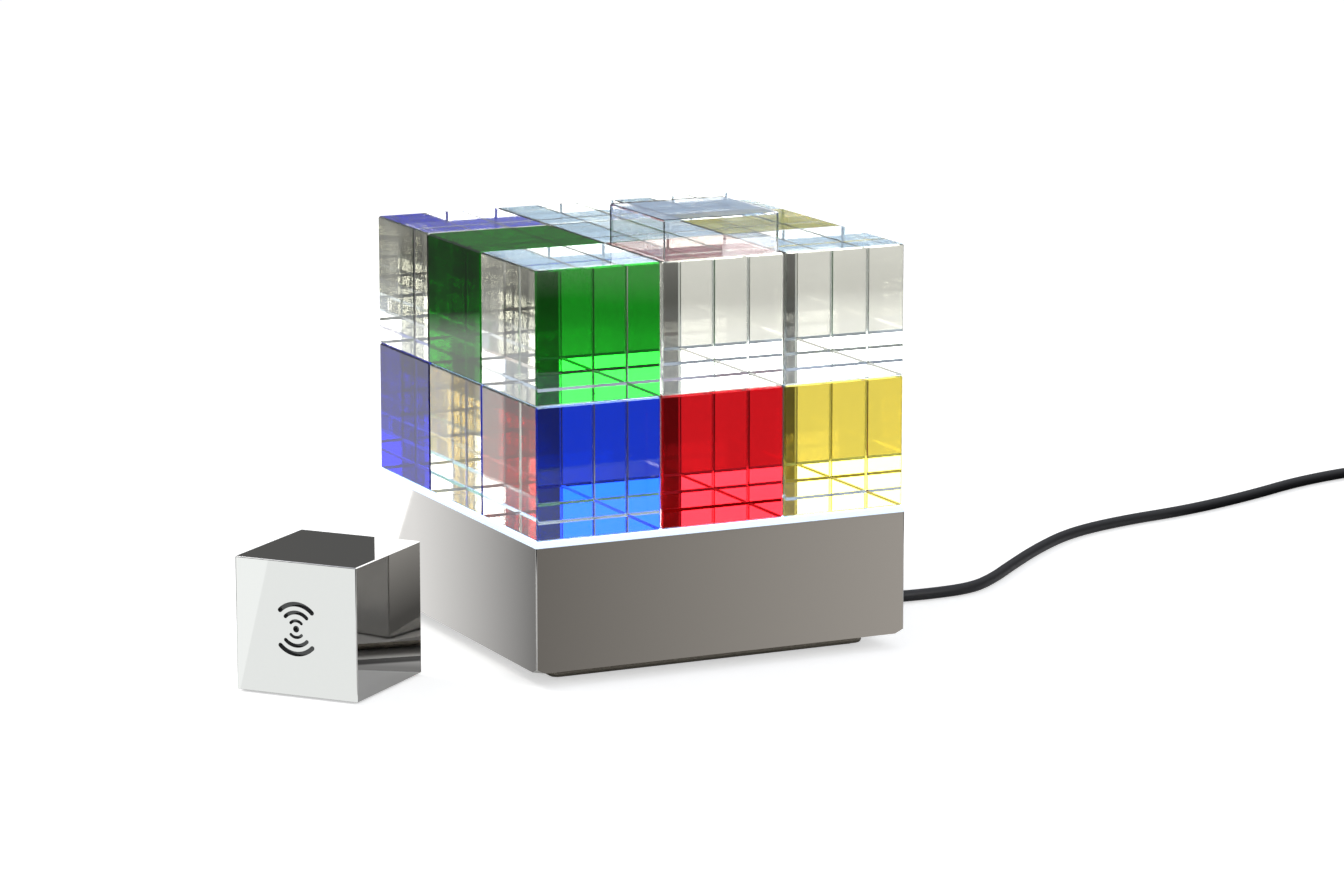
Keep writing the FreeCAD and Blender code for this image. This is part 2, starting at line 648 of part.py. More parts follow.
def make_light_engine():
    holes = [("screw_hole", x, y) for x, y in four_corners(SCREW_AT)]
    standoff_holes = [("small_hole", f"driver_x + ({x})", y) for x, y in
                      four_corners("(driver_wide / 2 - standoff_inset)",
                                   "(driver_deep / 2 - standoff_inset)")]
    lead_way = [("lead_hole", "lead_rise_x", "lead_y")]
    keep("chassis_plate", plate("chassis", INNER_FIT, INNER_FIT, "chassis_thickness",
                                Z_CHASSIS, holes + standoff_holes + lead_way))

    posts = []
    for index, (x, y) in enumerate(four_corners(SCREW_AT)):
        pillar = rod(f"pillar_{index}", "post_radius", "post_height", x, y, Z_POSTS)
        threads = [rod(f"thread_{end}_{index}", "thread_hole", "post_thread_depth", x, y, z)
                   for end, z in (("low", Z_POSTS),
                                  ("high", f"{Z_SPREADER} - post_thread_depth"))]
        posts.append(cut(f"post_{index}", pillar, threads))
    keep("led_posts", group("post_set", posts))

    slot = ("header_wide + 2 * fit_gap", "header_deep + 2 * fit_gap")
    for label, thickness, z in (("heat_spreader", "spreader_thickness", Z_SPREADER),
                                ("led_board", "board_thickness", Z_LIGHT_BOARD)):
        body = plate(f"{label}_body", INNER_FIT, INNER_FIT, thickness, z, holes)
        opening = new_sketch(body, f"{label}_slot", z)
        draw_rectangle(opening, *slot, HEADER_X)
        pocket(body, opening, thickness, upwards=True)
        keep(label, body)

    top_screws = []
    for index, (x, y) in enumerate(four_corners(SCREW_AT)):
        head = rod(f"top_head_{index}", "head_radius", "head_height", x, y, Z_LIGHT_BOX)
        shank = rod(f"top_shank_{index}", "thread_radius", "top_screw_length + head_height",
                    x, y, f"{Z_LIGHT_BOX} - top_screw_length")
        top_screws.append(join(f"top_screw_{index}", [head, shank]))
    keep("post_screws", group("top_screw_set", top_screws))

    sources = []
    for row in range(ROWS):
        for column in range(COLUMNS):
            for source in range(CELL_LEDS):
                angle = 2 * math.pi * source / CELL_LEDS
                x = f"{from_middle(column, COLUMNS)} + {round(math.cos(angle), 6)} * led_spread"
                y = f"{from_middle(row, ROWS)} + {round(math.sin(angle), 6)} * led_spread"
                name = f"source_{column}{row}{source}"
                sources.append(block(name, "led_side", "led_side", "led_height",
                                     x, y, Z_LIGHT_BOX))
    keep("led_chips", group("source_set", sources))


def make_light_box():
    height = f"{Z_REBATE} - {Z_LIGHT_BOX}"
    body = new_body("light_box_body")
    outline = new_sketch(body, "light_box_outline", Z_LIGHT_BOX)
    draw_rectangle(outline, INNER_FIT, INNER_FIT)
    pad(body, outline, height)
    cells = new_sketch(body, "light_box_cells", Z_LIGHT_BOX)
    # the outer cells reach from the first inner wall to the outer wall
    edge = f"({INNER_FIT} / 2 - box_wall)"
    rib = f"({PITCH} / 2 + cell_wall / 2)"
    inner = f"({PITCH} - cell_wall)"
    spans = [(f"-({edge} + {rib}) / 2", f"({edge} - {rib})"), ("0", inner),
             (f"({edge} + {rib}) / 2", f"({edge} - {rib})")]
    for x, wide in spans:
        for y, deep in spans:
            draw_rectangle(cells, wide, deep, x, y)
    pocket(body, cells, f"2 * ({height})", upwards=True)
    keep("light_box", body)


def make_diffuser():
    body = new_body("diffuser_body")
    low = new_sketch(body, "diffuser_low", Z_REBATE)
    draw_rectangle(low, INNER_FIT, INNER_FIT)
    pad(body, low, "diffuser_rebate")
    high = new_sketch(body, "diffuser_high", Z_WALL_TOP)
    side = f"{BASE} - 2 * diffuser_inset"
    draw_rectangle(high, side, side)
    pad(body, high, "diffuser_proud")
    keep("diffuser_panel", body)


def make_driver():
    reach_x = "(driver_wide / 2 - standoff_inset)"
    reach_y = "(driver_deep / 2 - standoff_inset)"
    corners = four_corners(reach_x, reach_y)
    holes = [("small_hole + small_slack", x, y) for x, y in corners]
    board = plate("driver_outline", "driver_wide", "driver_deep", "board_thickness",
                  "0", holes)
    keep("driver_board", put(board, "driver_x", "0", Z_DRIVER))
    standoffs, screws = [], []
    for index, (x, y) in enumerate(corners):
        x = f"driver_x + ({x})"
        barrel = rod(f"barrel_{index}", "standoff_radius", "standoff_height", x, y, Z_POSTS)
        bore = rod(f"bore_{index}", "small_hole", "standoff_height", x, y, Z_POSTS)
        standoffs.append(cut(f"standoff_{index}", barrel, [bore]))
        head = rod(f"driver_head_{index}", "small_head", "small_head_height", x, y, Z_PARTS)
        shank = rod(f"driver_shank_{index}", "small_thread", "small_screw_length",
                    x, y, f"{Z_PARTS} - small_screw_length")
        screws.append(join(f"driver_screw_{index}", [head, shank]))
    keep("board_standoffs", group("standoff_set", standoffs))
    keep("board_screws", group("driver_screw_set", screws))

    at_choke = ("choke_height", "driver_x + choke_x", "choke_y", Z_PARTS)
    core = rod("choke_core", "choke_radius", *at_choke)
    eye = rod("choke_eye", "choke_radius / 2", *at_choke)
    keep("power_choke", cut("choke", core, [eye]))
    cans = [rod(f"can_{index}", "capacitor_radius", "capacitor_height",
                f"driver_x + capacitor_x - {index} * (2 * capacitor_radius + capacitor_gap)",
                "capacitor_y", Z_PARTS)
            for index in range(2)]
    keep("filter_capacitors", group("can_set", cans))
    chips = [block(f"chip_{index}", "chip_side", "chip_side", "chip_height",
                   f"driver_x + {x}", f"{y}", Z_PARTS) for index, (x, y) in enumerate(CHIP_PLACES)]
    keep("driver_chips", group("chip_set", chips))

    radio_at = ("driver_x + radio_x", "(driver_deep / 2 - radio_deep / 2 - radio_edge)")
    base = block("radio_base", "radio_wide", "radio_deep", "radio_board", *radio_at, Z_PARTS)
    can = block("radio_shield", "radio_wide - antenna_wide - 2 * radio_board",
                "radio_deep - 2 * radio_board", "radio_can",
                f"{radio_at[0]} + antenna_wide / 2", radio_at[1], f"{Z_PARTS} + radio_board")
    keep("radio_module", join("radio", [base, can]))

    terminal_x = "(driver_x + driver_wide / 2 - terminal_wide / 2)"
    keep("supply_terminal", block("terminal", "terminal_wide", "terminal_deep",
                                  "terminal_height", terminal_x, "lead_y", Z_PARTS))
    socket_top = f"{Z_PARTS} + header_height"
    keep("driver_connector", block("low_header", "header_wide", "header_deep",
                                   "header_height", HEADER_X, "0", Z_PARTS))
    plug_foot = f"({Z_SPREADER} - header_hang)"
    keep("led_connector", block("high_header", "header_wide", "header_deep",
                                f"{Z_LIGHT_BOX} + led_height - {plug_foot}",
                                HEADER_X, "0", plug_foot))
    keep("led_ribbon", block("ribbon", "ribbon_wide", "ribbon_thickness",
                             f"{plug_foot} - ({socket_top})", HEADER_X, "0", socket_top))


def make_lead_entry():
    """Strain relief in the pan's notch, and the lead from there to its terminal."""
    root, tip = value("boot_root"), value("boot_tip")
    pan_side = value(f"{PAN} / 2")
    at_pan = Placement(Vector(pan_side, value("lead_y"), value("lead_height")), Rotation())
    outside = feature("boot_outside", boot(root, tip, value("boot_length"), BOOT_GROOVES),
                      at_pan)
    plug = block("boot_plug", "notch_deep - fit_gap", "notch_wide - 2 * fit_gap",
                 "plinth_height - pad_thickness - fit_gap",
                 f"{PAN} / 2 - (notch_deep - fit_gap) / 2", "lead_y", "pad_thickness")
    keep("cord_strain_relief", join("strain_relief", [outside, plug]))

    lead_y = value("lead_y")
    start = value(f"{PAN} / 2 - (notch_deep - fit_gap)")
    low = value("inner_lead_height")
    high = value(f"{Z_PARTS} + terminal_height / 2")
    rise = value("lead_rise_x")
    end = value("driver_x + driver_wide / 2")
    route = [Vector(start, lead_y, low), Vector(rise, lead_y, low),
             Vector(rise, lead_y, high), Vector(end, lead_y, high)]
    wire, _ = path_along(route, value("inner_bend"))
    keep("inner_lead", feature("inner_lead_tube", tube(wire, value("inner_lead_radius"))))


# ---------------------------------------------------------------- free lead and adapter

# The lead on the table, from the strain relief to the coil. The points after the first few
# are chosen by eye: out to the side, back in a slow curve, then away to the right.
LEAD_ROUTE = [(122.0, -9.4), (144.0, -7.6), (160.0, 3.5), (179.0, 21.5), (204.0, 44.0),
              (232.0, 65.0), (264.0, 76.5), (301.0, 83.0), (341.0, 97.0), (380.0, 115.0)]


def make_lead():
    rest = value("lead_rest")
    exit_x = value(f"{PAN} / 2 + boot_length")
    first = Vector(exit_x, value("lead_y"), value("lead_height"))
    coil_start = Vector(value("coil_x") - value("lead_diameter"), value("coil_y") + coil_radius(0),
                        rest)
    route = [first, first + Vector(value("lead_straight"), 0, 0)]
    route += [Vector(x, y, rest) for x, y in LEAD_ROUTE]
    route += [coil_start - Vector(value("coil_approach"), 0, 0), coil_start]
    wire, radii = path_along(route)
    print("lead radii mm:", [round(radius) for radius in radii])
    print("lead length mm:", round(wire.Length, 1))
    keep("power_lead", feature("power_lead_tube", tube(wire, value("lead_diameter / 2"))))


def coil_radius(quarter):
    """Radius of the coil after so many quarter turns: in to the middle, then out again."""
    from_tightest = abs(quarter - COIL_QUARTERS_IN)
    return value("coil_inner") + from_tightest / 4 * value(TURN_STEP)


def coil_point(quarter):
    """Point and direction of the coil, clockwise from its back, after so many quarters."""
    step = value(TURN_STEP)
    climbed = min(1.0, max(0.0, (quarter - COIL_QUARTERS_IN + 1) / 2))
    angle = math.pi / 2 * (1 - quarter)
    radius = coil_radius(quarter)
    point = Vector(value("coil_x") + radius * math.cos(angle),
                   value("coil_y") + radius * math.sin(angle),
                   value("lead_rest") + climbed * step)
    inward = step / (2 * math.pi) * (1 if quarter < COIL_QUARTERS_IN else -1)
    rise = 0.0
    if quarter == COIL_QUARTERS_IN:
        inward, rise = 0.0, 1.5 * step / math.pi
    if quarter in (0, COIL_QUARTERS_IN + COIL_QUARTERS_OUT):
        inward = 0.0
    out = Vector(math.cos(angle), math.sin(angle), 0)
    clockwise = Vector(math.sin(angle), -math.cos(angle), 0)
    way = clockwise * radius - out * inward + Vector(0, 0, rise)
    return point, way.normalize()


def make_coil():
    """The put-away lead: spirals in on the table, climbs, and spirals out on top."""
    diameter = value("lead_diameter")
    last = COIL_QUARTERS_IN + COIL_QUARTERS_OUT
    turns = [coil_point(quarter) for quarter in range(last + 1)]
    start, start_way = turns[0]
    end, end_way = turns[-1]
    edges = [straight(start - start_way * diameter, start)]
    for (here, way), (there, next_way) in zip(turns, turns[1:]):
        edges += biarc(here, way, there, next_way)
    edges.append(straight(end, end + end_way * diameter))
    wire = Part.Wire(edges)
    print("coil length mm:", round(wire.Length, 1),
          "least gap mm:", round(least_gap(wire, diameter), 3))
    keep("power_lead_coil", feature("coil_tube", tube(wire, diameter / 2)))


def make_adapter():
    """Plug-in adapter on its back beside the coil, pins up, strain relief to the coil's end."""
    height = value(f"lead_rest + {TURN_STEP}")
    end_x = value(f"coil_x + {COIL_END_RADIUS}")
    tip_y = value("coil_y - lead_diameter")
    boot_length = value("adapter_boot_length")
    shape = boot(value("adapter_boot_root"), value("adapter_boot_tip"), boot_length,
                 ADAPTER_GROOVES)
    towards_coil = Rotation(Vector(0, 0, 1), 90)
    keep("adapter_strain_relief", feature("adapter_boot", shape, Placement(
        Vector(end_x, tip_y - boot_length, height), towards_coil)))

    place = Placement(Vector(end_x, tip_y - boot_length - value("adapter_long") / 2, 0),
                      Rotation())
    pin_y = "(pin_from_end - adapter_long / 2)"
    pins_at = [(f"{side} * pin_spacing / 2", pin_y) for side in (-1, 1)]
    inner = ("adapter_wide - 2 * adapter_wall", "adapter_long - 2 * adapter_wall")

    back = new_body("adapter_back_body")
    outline = new_sketch(back, "adapter_back_outline")
    draw_rectangle(outline, "adapter_wide", "adapter_long")
    pad(back, outline, "adapter_seam")
    soften(back, "Fillet", "adapter_round", is_upright)
    soften(back, "Fillet", "adapter_edge", lies_at(0))
    inside = new_sketch(back, "adapter_back_inside", "adapter_wall")
    draw_rectangle(inside, *inner)
    pocket(back, inside, "adapter_seam", upwards=True)
    back.Placement = place
    keep("adapter_back_shell", back)

    front = new_body("adapter_front_body")
    outline = new_sketch(front, "adapter_front_outline", "adapter_seam")
    draw_rectangle(outline, "adapter_wide", "adapter_long")
    pad(front, outline, "adapter_height - adapter_seam")
    soften(front, "Fillet", "adapter_round", is_upright)
    soften(front, "Fillet", "adapter_edge", lies_at(value("adapter_height")))
    inside = new_sketch(front, "adapter_front_inside", "adapter_height - adapter_wall")
    draw_rectangle(inside, *inner)
    pocket(front, inside, "adapter_height")
    holes = new_sketch(front, "adapter_front_holes", "adapter_height")
    for x, y in pins_at:
        draw_circle(holes, "pin_collar_radius + snug_gap", x, y)
    pocket(front, holes, "2 * adapter_wall")
    front.Placement = place
    keep("adapter_front_shell", front)

    pins = []
    for index, (x, y) in enumerate(pins_at):
        collar = rod(f"pin_collar_{index}", "pin_collar_radius", "2 * adapter_wall",
                     x, y, "adapter_height - 2 * adapter_wall")
        shaft = rod(f"pin_shaft_{index}", "pin_radius", "pin_length - pin_tip",
                    x, y, "adapter_height")
        tip = cone(f"pin_end_{index}", "pin_radius", "pin_radius - pin_tip", "pin_tip",
                   x, y, "adapter_height + pin_length - pin_tip")
        pins.append(join(f"pin_{index}", [collar, shaft, tip]))
    keep("adapter_pins", group("pin_set", pins, place))

    board = block("circuit_card", f"{inner[0]} - 2 * fit_gap", f"{inner[1]} - 2 * fit_gap",
                  "board_thickness", "0", "0", "circuit_height")
    posts_at = four_corners("(adapter_wide / 2 - circuit_post_inset)",
                            "(adapter_long / 2 - circuit_post_inset)")
    posts = [rod(f"circuit_post_{index}", "circuit_post", "circuit_height - adapter_wall",
                 x, y, "adapter_wall") for index, (x, y) in enumerate(posts_at)]
    on_board = "circuit_height + board_thickness"
    wound = block("transformer", "transformer_side", "transformer_side",
                  "transformer_height", "0", "transformer_y", on_board)
    store = rod("adapter_capacitor", "capacitor_radius", "capacitor_height",
                "store_x", "store_y", on_board)
    keep("adapter_circuit", group("adapter_circuit_set",
                                  [join("circuit_with_posts", [board] + posts), wound, store],
                                  place))


# ---------------------------------------------------------------- controller

def arc_slot(radius, width, half_angle, deep, below):
    """Slot with round ends along an arc about the Y axis, cut through along +Y."""
    middle = -math.pi / 2 if below else math.pi / 2

    def at(distance, angle):
        return Vector(distance * math.cos(middle + angle), 0, distance * math.sin(middle + angle))

    outer, inner = radius + width / 2, radius - width / 2
    cap = math.asin(width / 2 / radius)
    edges = [
        Part.Arc(at(outer, -half_angle), at(outer, 0), at(outer, half_angle)).toShape(),
        Part.Arc(at(outer, half_angle), at(radius, half_angle + cap),
                 at(inner, half_angle)).toShape(),
        Part.Arc(at(inner, half_angle), at(inner, 0), at(inner, -half_angle)).toShape(),
        Part.Arc(at(inner, -half_angle), at(radius, -half_angle - cap),
                 at(outer, -half_angle)).toShape(),
    ]
    return Part.Face(Part.Wire(edges)).extrude(Vector(0, deep, 0))


def make_controller():
    place = Placement(Vector(value("controller_x"), value("controller_y"), 0),
                      Rotation(Vector(0, 0, 1), value("controller_turn")))
    inside = "(controller_side - 2 * controller_wall)"
    z_shell = "controller_pad"
    z_cover = "(controller_pad + cover_recess)"
    z_inside = f"({z_cover} + cover_thickness)"
    lug_at = f"({inside} / 2 - lug_side / 2)"
    lugs_at = four_corners(lug_at)

    body = new_body("controller_body")
    outline = new_sketch(body, "controller_outline", z_shell)
    draw_rectangle(outline, "controller_side", "controller_side")
    pad(body, outline, "controller_side")
    soften(body, "Fillet", "controller_round", lambda edge: True)
    hollow = new_sketch(body, "controller_hollow", z_shell)
    draw_rectangle(hollow, inside, inside)
    pocket(body, hollow, "controller_side - controller_wall", upwards=True)
    lugs = [block(f"lug_{index}", "lug_side", "lug_side", "lug_height", x, y, z_inside)
            for index, (x, y) in enumerate(lugs_at)]
    lug_holes = [rod(f"lug_hole_{index}", "small_hole", "lug_height", x, y, z_inside)
                 for index, (x, y) in enumerate(lugs_at)]
    middle = value(f"{z_shell} + controller_side / 2")
    front = -value("controller_side / 2")
    through = 2 * value("controller_wall")
    slots = [Part.makeCylinder(value("dot_radius"), through, Vector(0, 0, 0), Vector(0, 1, 0))]
    for arc in range(SLOT_ARCS):
        radius = value("arc_step") * (arc + 1)
        width = value("arc_wide") + arc * value("arc_grow")
        half_angle = math.radians(value("arc_half_angle"))
        slots += [arc_slot(radius, width, half_angle, through, below) for below in (True, False)]
    slot_set = feature("front_slots", Part.makeCompound(slots),
                       Placement(Vector(0, front - through / 4, middle), Rotation()))
    shell = cut("controller_cut", join("controller_lugged", [body] + lugs),
                lug_holes + [slot_set])
    shell.Placement = place
    keep("controller_shell", shell)

    window_y = "(window_thickness - controller_side) / 2 + controller_wall"
    window = block("window", "window_wide", "window_thickness", "window_tall", "0", window_y,
                   f"{z_shell} + (controller_side - window_tall) / 2")
    keep("controller_window", group("window_set", [window], place))

    cover_side = f"({inside} - 2 * fit_gap)"
    cover_plate = plate("cover_outline", cover_side, cover_side, "cover_thickness", z_cover,
                        [("small_hole + small_slack", x, y) for x, y in lugs_at])
    guides = []
    for index, side in enumerate((-1, 1)):
        guides.append(block(f"guide_{index}", "card_wide - 2 * rib_inset", "rib_thickness",
                            "rib_height", "0",
                            f"card_y + board_thickness / 2 + {side} * (board_thickness / 2"
                            " + fit_gap + rib_thickness / 2)", z_inside))
    keep("controller_cover", group("cover_set", [join("cover", [cover_plate] + guides)], place))

    soft_side = f"{inside} - 2 * lug_side"
    soft = block("controller_soft", soft_side, soft_side, z_cover)
    keep("controller_foot", group("foot_set", [soft], place))

    screws = []
    for index, (x, y) in enumerate(lugs_at):
        head = rod(f"cover_head_{index}", "small_head", "cover_recess", x, y, z_shell)
        shank = rod(f"cover_shank_{index}", "small_thread", "small_screw_length + cover_recess",
                    x, y, z_shell)
        screws.append(join(f"cover_screw_{index}", [head, shank]))
    keep("controller_screws", group("cover_screw_set", screws, place))

    card = block("card", "card_wide", "board_thickness", "card_tall", "0",
                 "card_y + board_thickness / 2", z_inside)
    chips = [block(f"card_chip_{index}", "chip_side", "chip_height", "chip_side",
                   f"{side} * chip_side", "card_y - chip_height / 2",
                   f"{z_inside} + card_tall - card_chip_drop - {index} * 1.6 * chip_side")
             for index, side in enumerate((-1, 1))]
    keep("controller_circuit", group("card_set", [card] + chips, place))

    cell_length = f"({inside} - 2 * cell_end_gap)"
    cell_z = f"({z_inside} + cradle_floor + cell_radius)"
    deep = "(4 * cell_radius + 3 * fit_gap)"
    middle_y = f"({inside} / 2 - lug_side - fit_gap - {deep} / 2)"
    cells_at = [f"{middle_y} + {side} * (cell_radius + fit_gap / 2)" for side in (-1, 1)]
    along_x = Placement(Vector(0, 0, 0), Rotation(Vector(0, 1, 0), 90))
    cells, grooves = [], []
    for index, y in enumerate(cells_at):
        can = rod(f"cell_{index}", "cell_radius", f"{cell_length} - knob_length")
        knob = rod(f"cell_knob_{index}", "knob_radius", "knob_length", "0", "0",
                   f"{cell_length} - knob_length")
        cell = group(f"cell_lying_{index}", [join(f"cell_whole_{index}", [can, knob])], along_x)
        cells.append(put(cell, f"-{cell_length} / 2", y, cell_z))
        groove = rod(f"groove_{index}", "cell_radius + snug_gap", "cradle_wide")
        groove.Placement = along_x
        grooves.append(put(groove, "-cradle_wide / 2", y, cell_z))
    keep("controller_cells", group("cell_set", cells, place))
    tray = block("tray", "cradle_wide", deep, "cradle_height", "0", middle_y, z_inside)
    keep("cell_cradle", group("cradle_set", [cut("cradle", tray, grooves)], place))


def export_all():
    doc.recompute()
    for thing in doc.Objects:
        if "Invalid" in thing.State or "Error" in thing.State:
            raise ValueError(f"{thing.Label} failed")
    os.makedirs("parts", exist_ok=True)
    for label, thing in sorted(nodes.items()):
        shape = thing.Shape
        if shape.isNull() or not shape.isValid() or not shape.Solids:
            raise ValueError(f"{label} has no valid solid")
        shape.exportStep(f"parts/{label}.step")
        print(f"{label}: {len(shape.Solids)} solids, {shape.Volume / 1000:.2f} cm3")
    print(len(nodes), "sub-parts")


make_glass()
make_cap()
make_shell()
make_pan()
make_pan_screws()
make_light_engine()
make_light_box()
make_diffuser()
make_driver()
make_lead_entry()
make_lead()
make_coil()
make_adapter()
make_controller()
export_all()
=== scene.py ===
"""Crystal cube light: the finish of every piece, the free lead, the stage and the camera."""
import math

import bpy
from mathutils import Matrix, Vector


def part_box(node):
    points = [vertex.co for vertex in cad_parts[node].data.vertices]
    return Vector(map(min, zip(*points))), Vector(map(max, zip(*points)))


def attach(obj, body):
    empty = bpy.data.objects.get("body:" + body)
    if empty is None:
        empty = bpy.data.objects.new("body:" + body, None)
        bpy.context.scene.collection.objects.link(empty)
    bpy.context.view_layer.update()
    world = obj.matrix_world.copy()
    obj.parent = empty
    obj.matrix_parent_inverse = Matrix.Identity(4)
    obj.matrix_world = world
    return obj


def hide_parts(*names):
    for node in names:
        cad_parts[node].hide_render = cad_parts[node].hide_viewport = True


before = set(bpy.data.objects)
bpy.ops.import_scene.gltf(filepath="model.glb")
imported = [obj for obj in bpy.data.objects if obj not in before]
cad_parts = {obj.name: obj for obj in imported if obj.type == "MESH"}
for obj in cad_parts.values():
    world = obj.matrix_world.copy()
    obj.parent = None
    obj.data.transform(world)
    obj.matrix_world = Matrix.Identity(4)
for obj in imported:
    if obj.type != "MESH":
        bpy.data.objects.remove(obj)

bl_info = {
    "name": "Crystal Cube Light",
    "version": (1, 0, 0),
    "blender": (4, 5, 0),
    "location": "View3D > Sidebar > Cube Light",
    "description": "Dresses a table light of loose crystal cubes, its controller, lead and adapter",
    "category": "Object",
}

MM = 0.001
CUBE_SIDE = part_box("red_cube")[1].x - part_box("red_cube")[0].x
BOOT_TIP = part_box("cord_strain_relief")[1].x
COIL_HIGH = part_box("power_lead_coil")[1]
SHELL_LOW, SHELL_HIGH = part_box("housing_shell")
CLEAR_CUBES = [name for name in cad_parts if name.startswith("clear_cube_")]


# ---------------------------------------------------------------- colours and nodes

def linear(code):
    """An sRGB hex colour as linear red, green and blue."""
    shades = [int(code[i:i + 2], 16) / 255 for i in (1, 3, 5)]
    return tuple(c / 12.92 if c <= 0.04045 else ((c + 0.055) / 1.055) ** 2.4 for c in shades)


def opaque(colour):
    """A colour with full alpha, as a node's socket takes it."""
    return (*colour, 1.0)


def dimmed(share, colour):
    """A share of a colour."""
    return tuple(share * part for part in colour)


def add(tree, kind, inputs=None, **settings):
    """Add a node with its settings; an input is a plain value or the socket that feeds it."""
    node = tree.nodes.new(kind)
    for name, setting in settings.items():
        setattr(node, name, setting)
    for name, given in (inputs or {}).items():
        if isinstance(given, bpy.types.NodeSocket):
            tree.links.new(given, node.inputs[name])
        else:
            node.inputs[name].default_value = given
    return node


def new_material(name):
    """An empty material with its output node."""
    material = bpy.data.materials.new(name)
    material.use_nodes = True
    material.node_tree.nodes.clear()
    return material, material.node_tree, add(material.node_tree, "ShaderNodeOutputMaterial")


def per_mm(width):
    """Scale of a pattern in object coordinates whose feature is so many millimetres wide."""
    return 1 / (width * MM)


# ---------------------------------------------------------------- sizes and colours a user sets

def colour_setting(name, description, code):
    """A colour that a user can set, given as sRGB hex."""
    return bpy.props.FloatVectorProperty(
        name=name, description=description, default=linear(code), size=3, subtype="COLOR",
        min=0.0, max=1.0)


def length_setting(name, description, default):
    """A length that a user can set, in metres."""
    return bpy.props.FloatProperty(
        name=name, description=description, default=default, unit="LENGTH")


class CrystalSettings(bpy.types.PropertyGroup):
    """What light keeps of its colour through one cube, edge to edge."""
    ior: bpy.props.FloatProperty(
        name="Refractive index", description="Index of the crystal glass", default=1.58)
    clear: colour_setting("Clear", "What 50 mm of the clear glass lets through", "#FDFDF9")
    green: colour_setting("Green", "What 50 mm of the green glass lets through", "#1EA828")
    blue: colour_setting("Cobalt blue", "What 50 mm of the blue glass lets through", "#0638DC")
    red: colour_setting("Red", "What 50 mm of the red glass lets through", "#DB1E28")
    yellow: colour_setting("Yellow", "What 50 mm of the yellow glass lets through", "#F8E468")
    acrylic: colour_setting("Acrylic", "What 50 mm of the cap's acrylic lets through", "#FAFEFF")
    acrylic_ior: bpy.props.FloatProperty(
        name="Index of the cap", description="Refractive index of acrylic", default=1.49)


class BaseSettings(bpy.types.PropertyGroup):
    """Metal and light of the base."""
    steel: colour_setting("Steel", "Polished sheet of the shell", "#C8C6C3")
    pan_steel: colour_setting("Pan steel", "Satin sheet of the pan", "#A39C90")
    glow: colour_setting("Glow", "Light of the opal plate", "#ADD2FF")
    face_glow: bpy.props.FloatProperty(
        name="Face glow", description="Light of the plate's face, 1 is white", default=2.6)
    edge_glow: bpy.props.FloatProperty(
        name="Edge glow", description="Light of the plate's edge, 1 is white", default=0.56)


class ControllerSettings(bpy.types.PropertyGroup):
    """Metal of the controller."""
    steel: colour_setting("Steel", "Mirror-polished sheet of the controller", "#C9C8C6")
    window: colour_setting("Window", "Acrylic behind the slots", "#070709")


class LeadSettings(bpy.types.PropertyGroup):
    """The low-voltage lead and its adapter."""
    diameter: length_setting("Diameter", "Outside of the lead", 4.6 * MM)
    turn_gap: length_setting("Turn gap", "Space between the put-away turns", 0.5 * MM)
    tightest: length_setting("Tightest turn", "Radius of the innermost turn", 17.6 * MM)
    jacket: colour_setting("Jacket", "Soft PVC of the lead", "#17171A")
    housing: colour_setting("Housing", "Moulded plastic of the adapter", "#1C1C1F")


class StageSettings(bpy.types.PropertyGroup):
    """Floor, light and camera."""
    floor: colour_setting("Floor", "Pale paper sweep", "#E4E4E2")
    camera_place: bpy.props.FloatVectorProperty(
        name="Camera place", description="Where the camera stands", size=3,
        default=(-743.9 * MM, -1587.9 * MM, 419.6 * MM), subtype="TRANSLATION")
    camera_azimuth: bpy.props.FloatProperty(
        name="Camera azimuth", description="Turn of the camera about the light",
        default=math.radians(-25.55), subtype="ANGLE")
    camera_drop: bpy.props.FloatProperty(
        name="Camera drop", description="How far the camera looks down",
        default=math.radians(11.263), subtype="ANGLE")
    camera_lens: bpy.props.FloatProperty(
        name="Lens", description="Focal length in millimetres on a 36 mm frame", default=124.36)


# ---------------------------------------------------------------- finishes

# a bevel faces an axis less squarely than the first, a flat face more than the second
BEVEL_SQUARE, FACE_SQUARE = 0.8, 0.98
BEVEL_ROUGHNESS = 0.14
LEAST_SHARE = 0.002         # of a colour that coloured glass still lets through
MARKS_LOW, MARKS_HIGH = 0.3, 0.7        # between these lies nearly all of a pattern of marks
FAINT = 0.985               # tone of marks that only just show
CLOUDS = 14                 # how much wider a plastic's clouds of tone are than its grain
GRAIN_DULLS = 0.08          # how much rougher a mould's grain makes plastic in places
PLASTIC_IOR = 1.49
# the opal plate's edge faces upwards less than the first, its face more than the second
EDGE_RISE, FACE_RISE = 0.4, 0.9
PIN_SLEEVE = 10 * MM        # how far the sleeve of an adapter's pin reaches


def surface_marks(tree, width, detail=2.0, stretch=(1, 1, 1)):
    """The marks of polishing, milling or a mould, or clouds and fibres in the material, so many
    millimetres wide. They stay on the piece when it moves, and a stretch below 1 draws them out
    along that axis. Real polishing lines and mould grain, of 0.1 mm and less, are too fine to
    show in the render, so they are drawn as coarse as the widths given here."""
    place = add(tree, "ShaderNodeTexCoord").outputs["Object"]
    drawn_out = add(tree, "ShaderNodeMapping", {"Vector": place, "Scale": stretch})
    return add(tree, "ShaderNodeTexNoise", {
        "Vector": drawn_out.outputs["Vector"], "Scale": per_mm(width), "Detail": detail}
    ).outputs["Fac"]


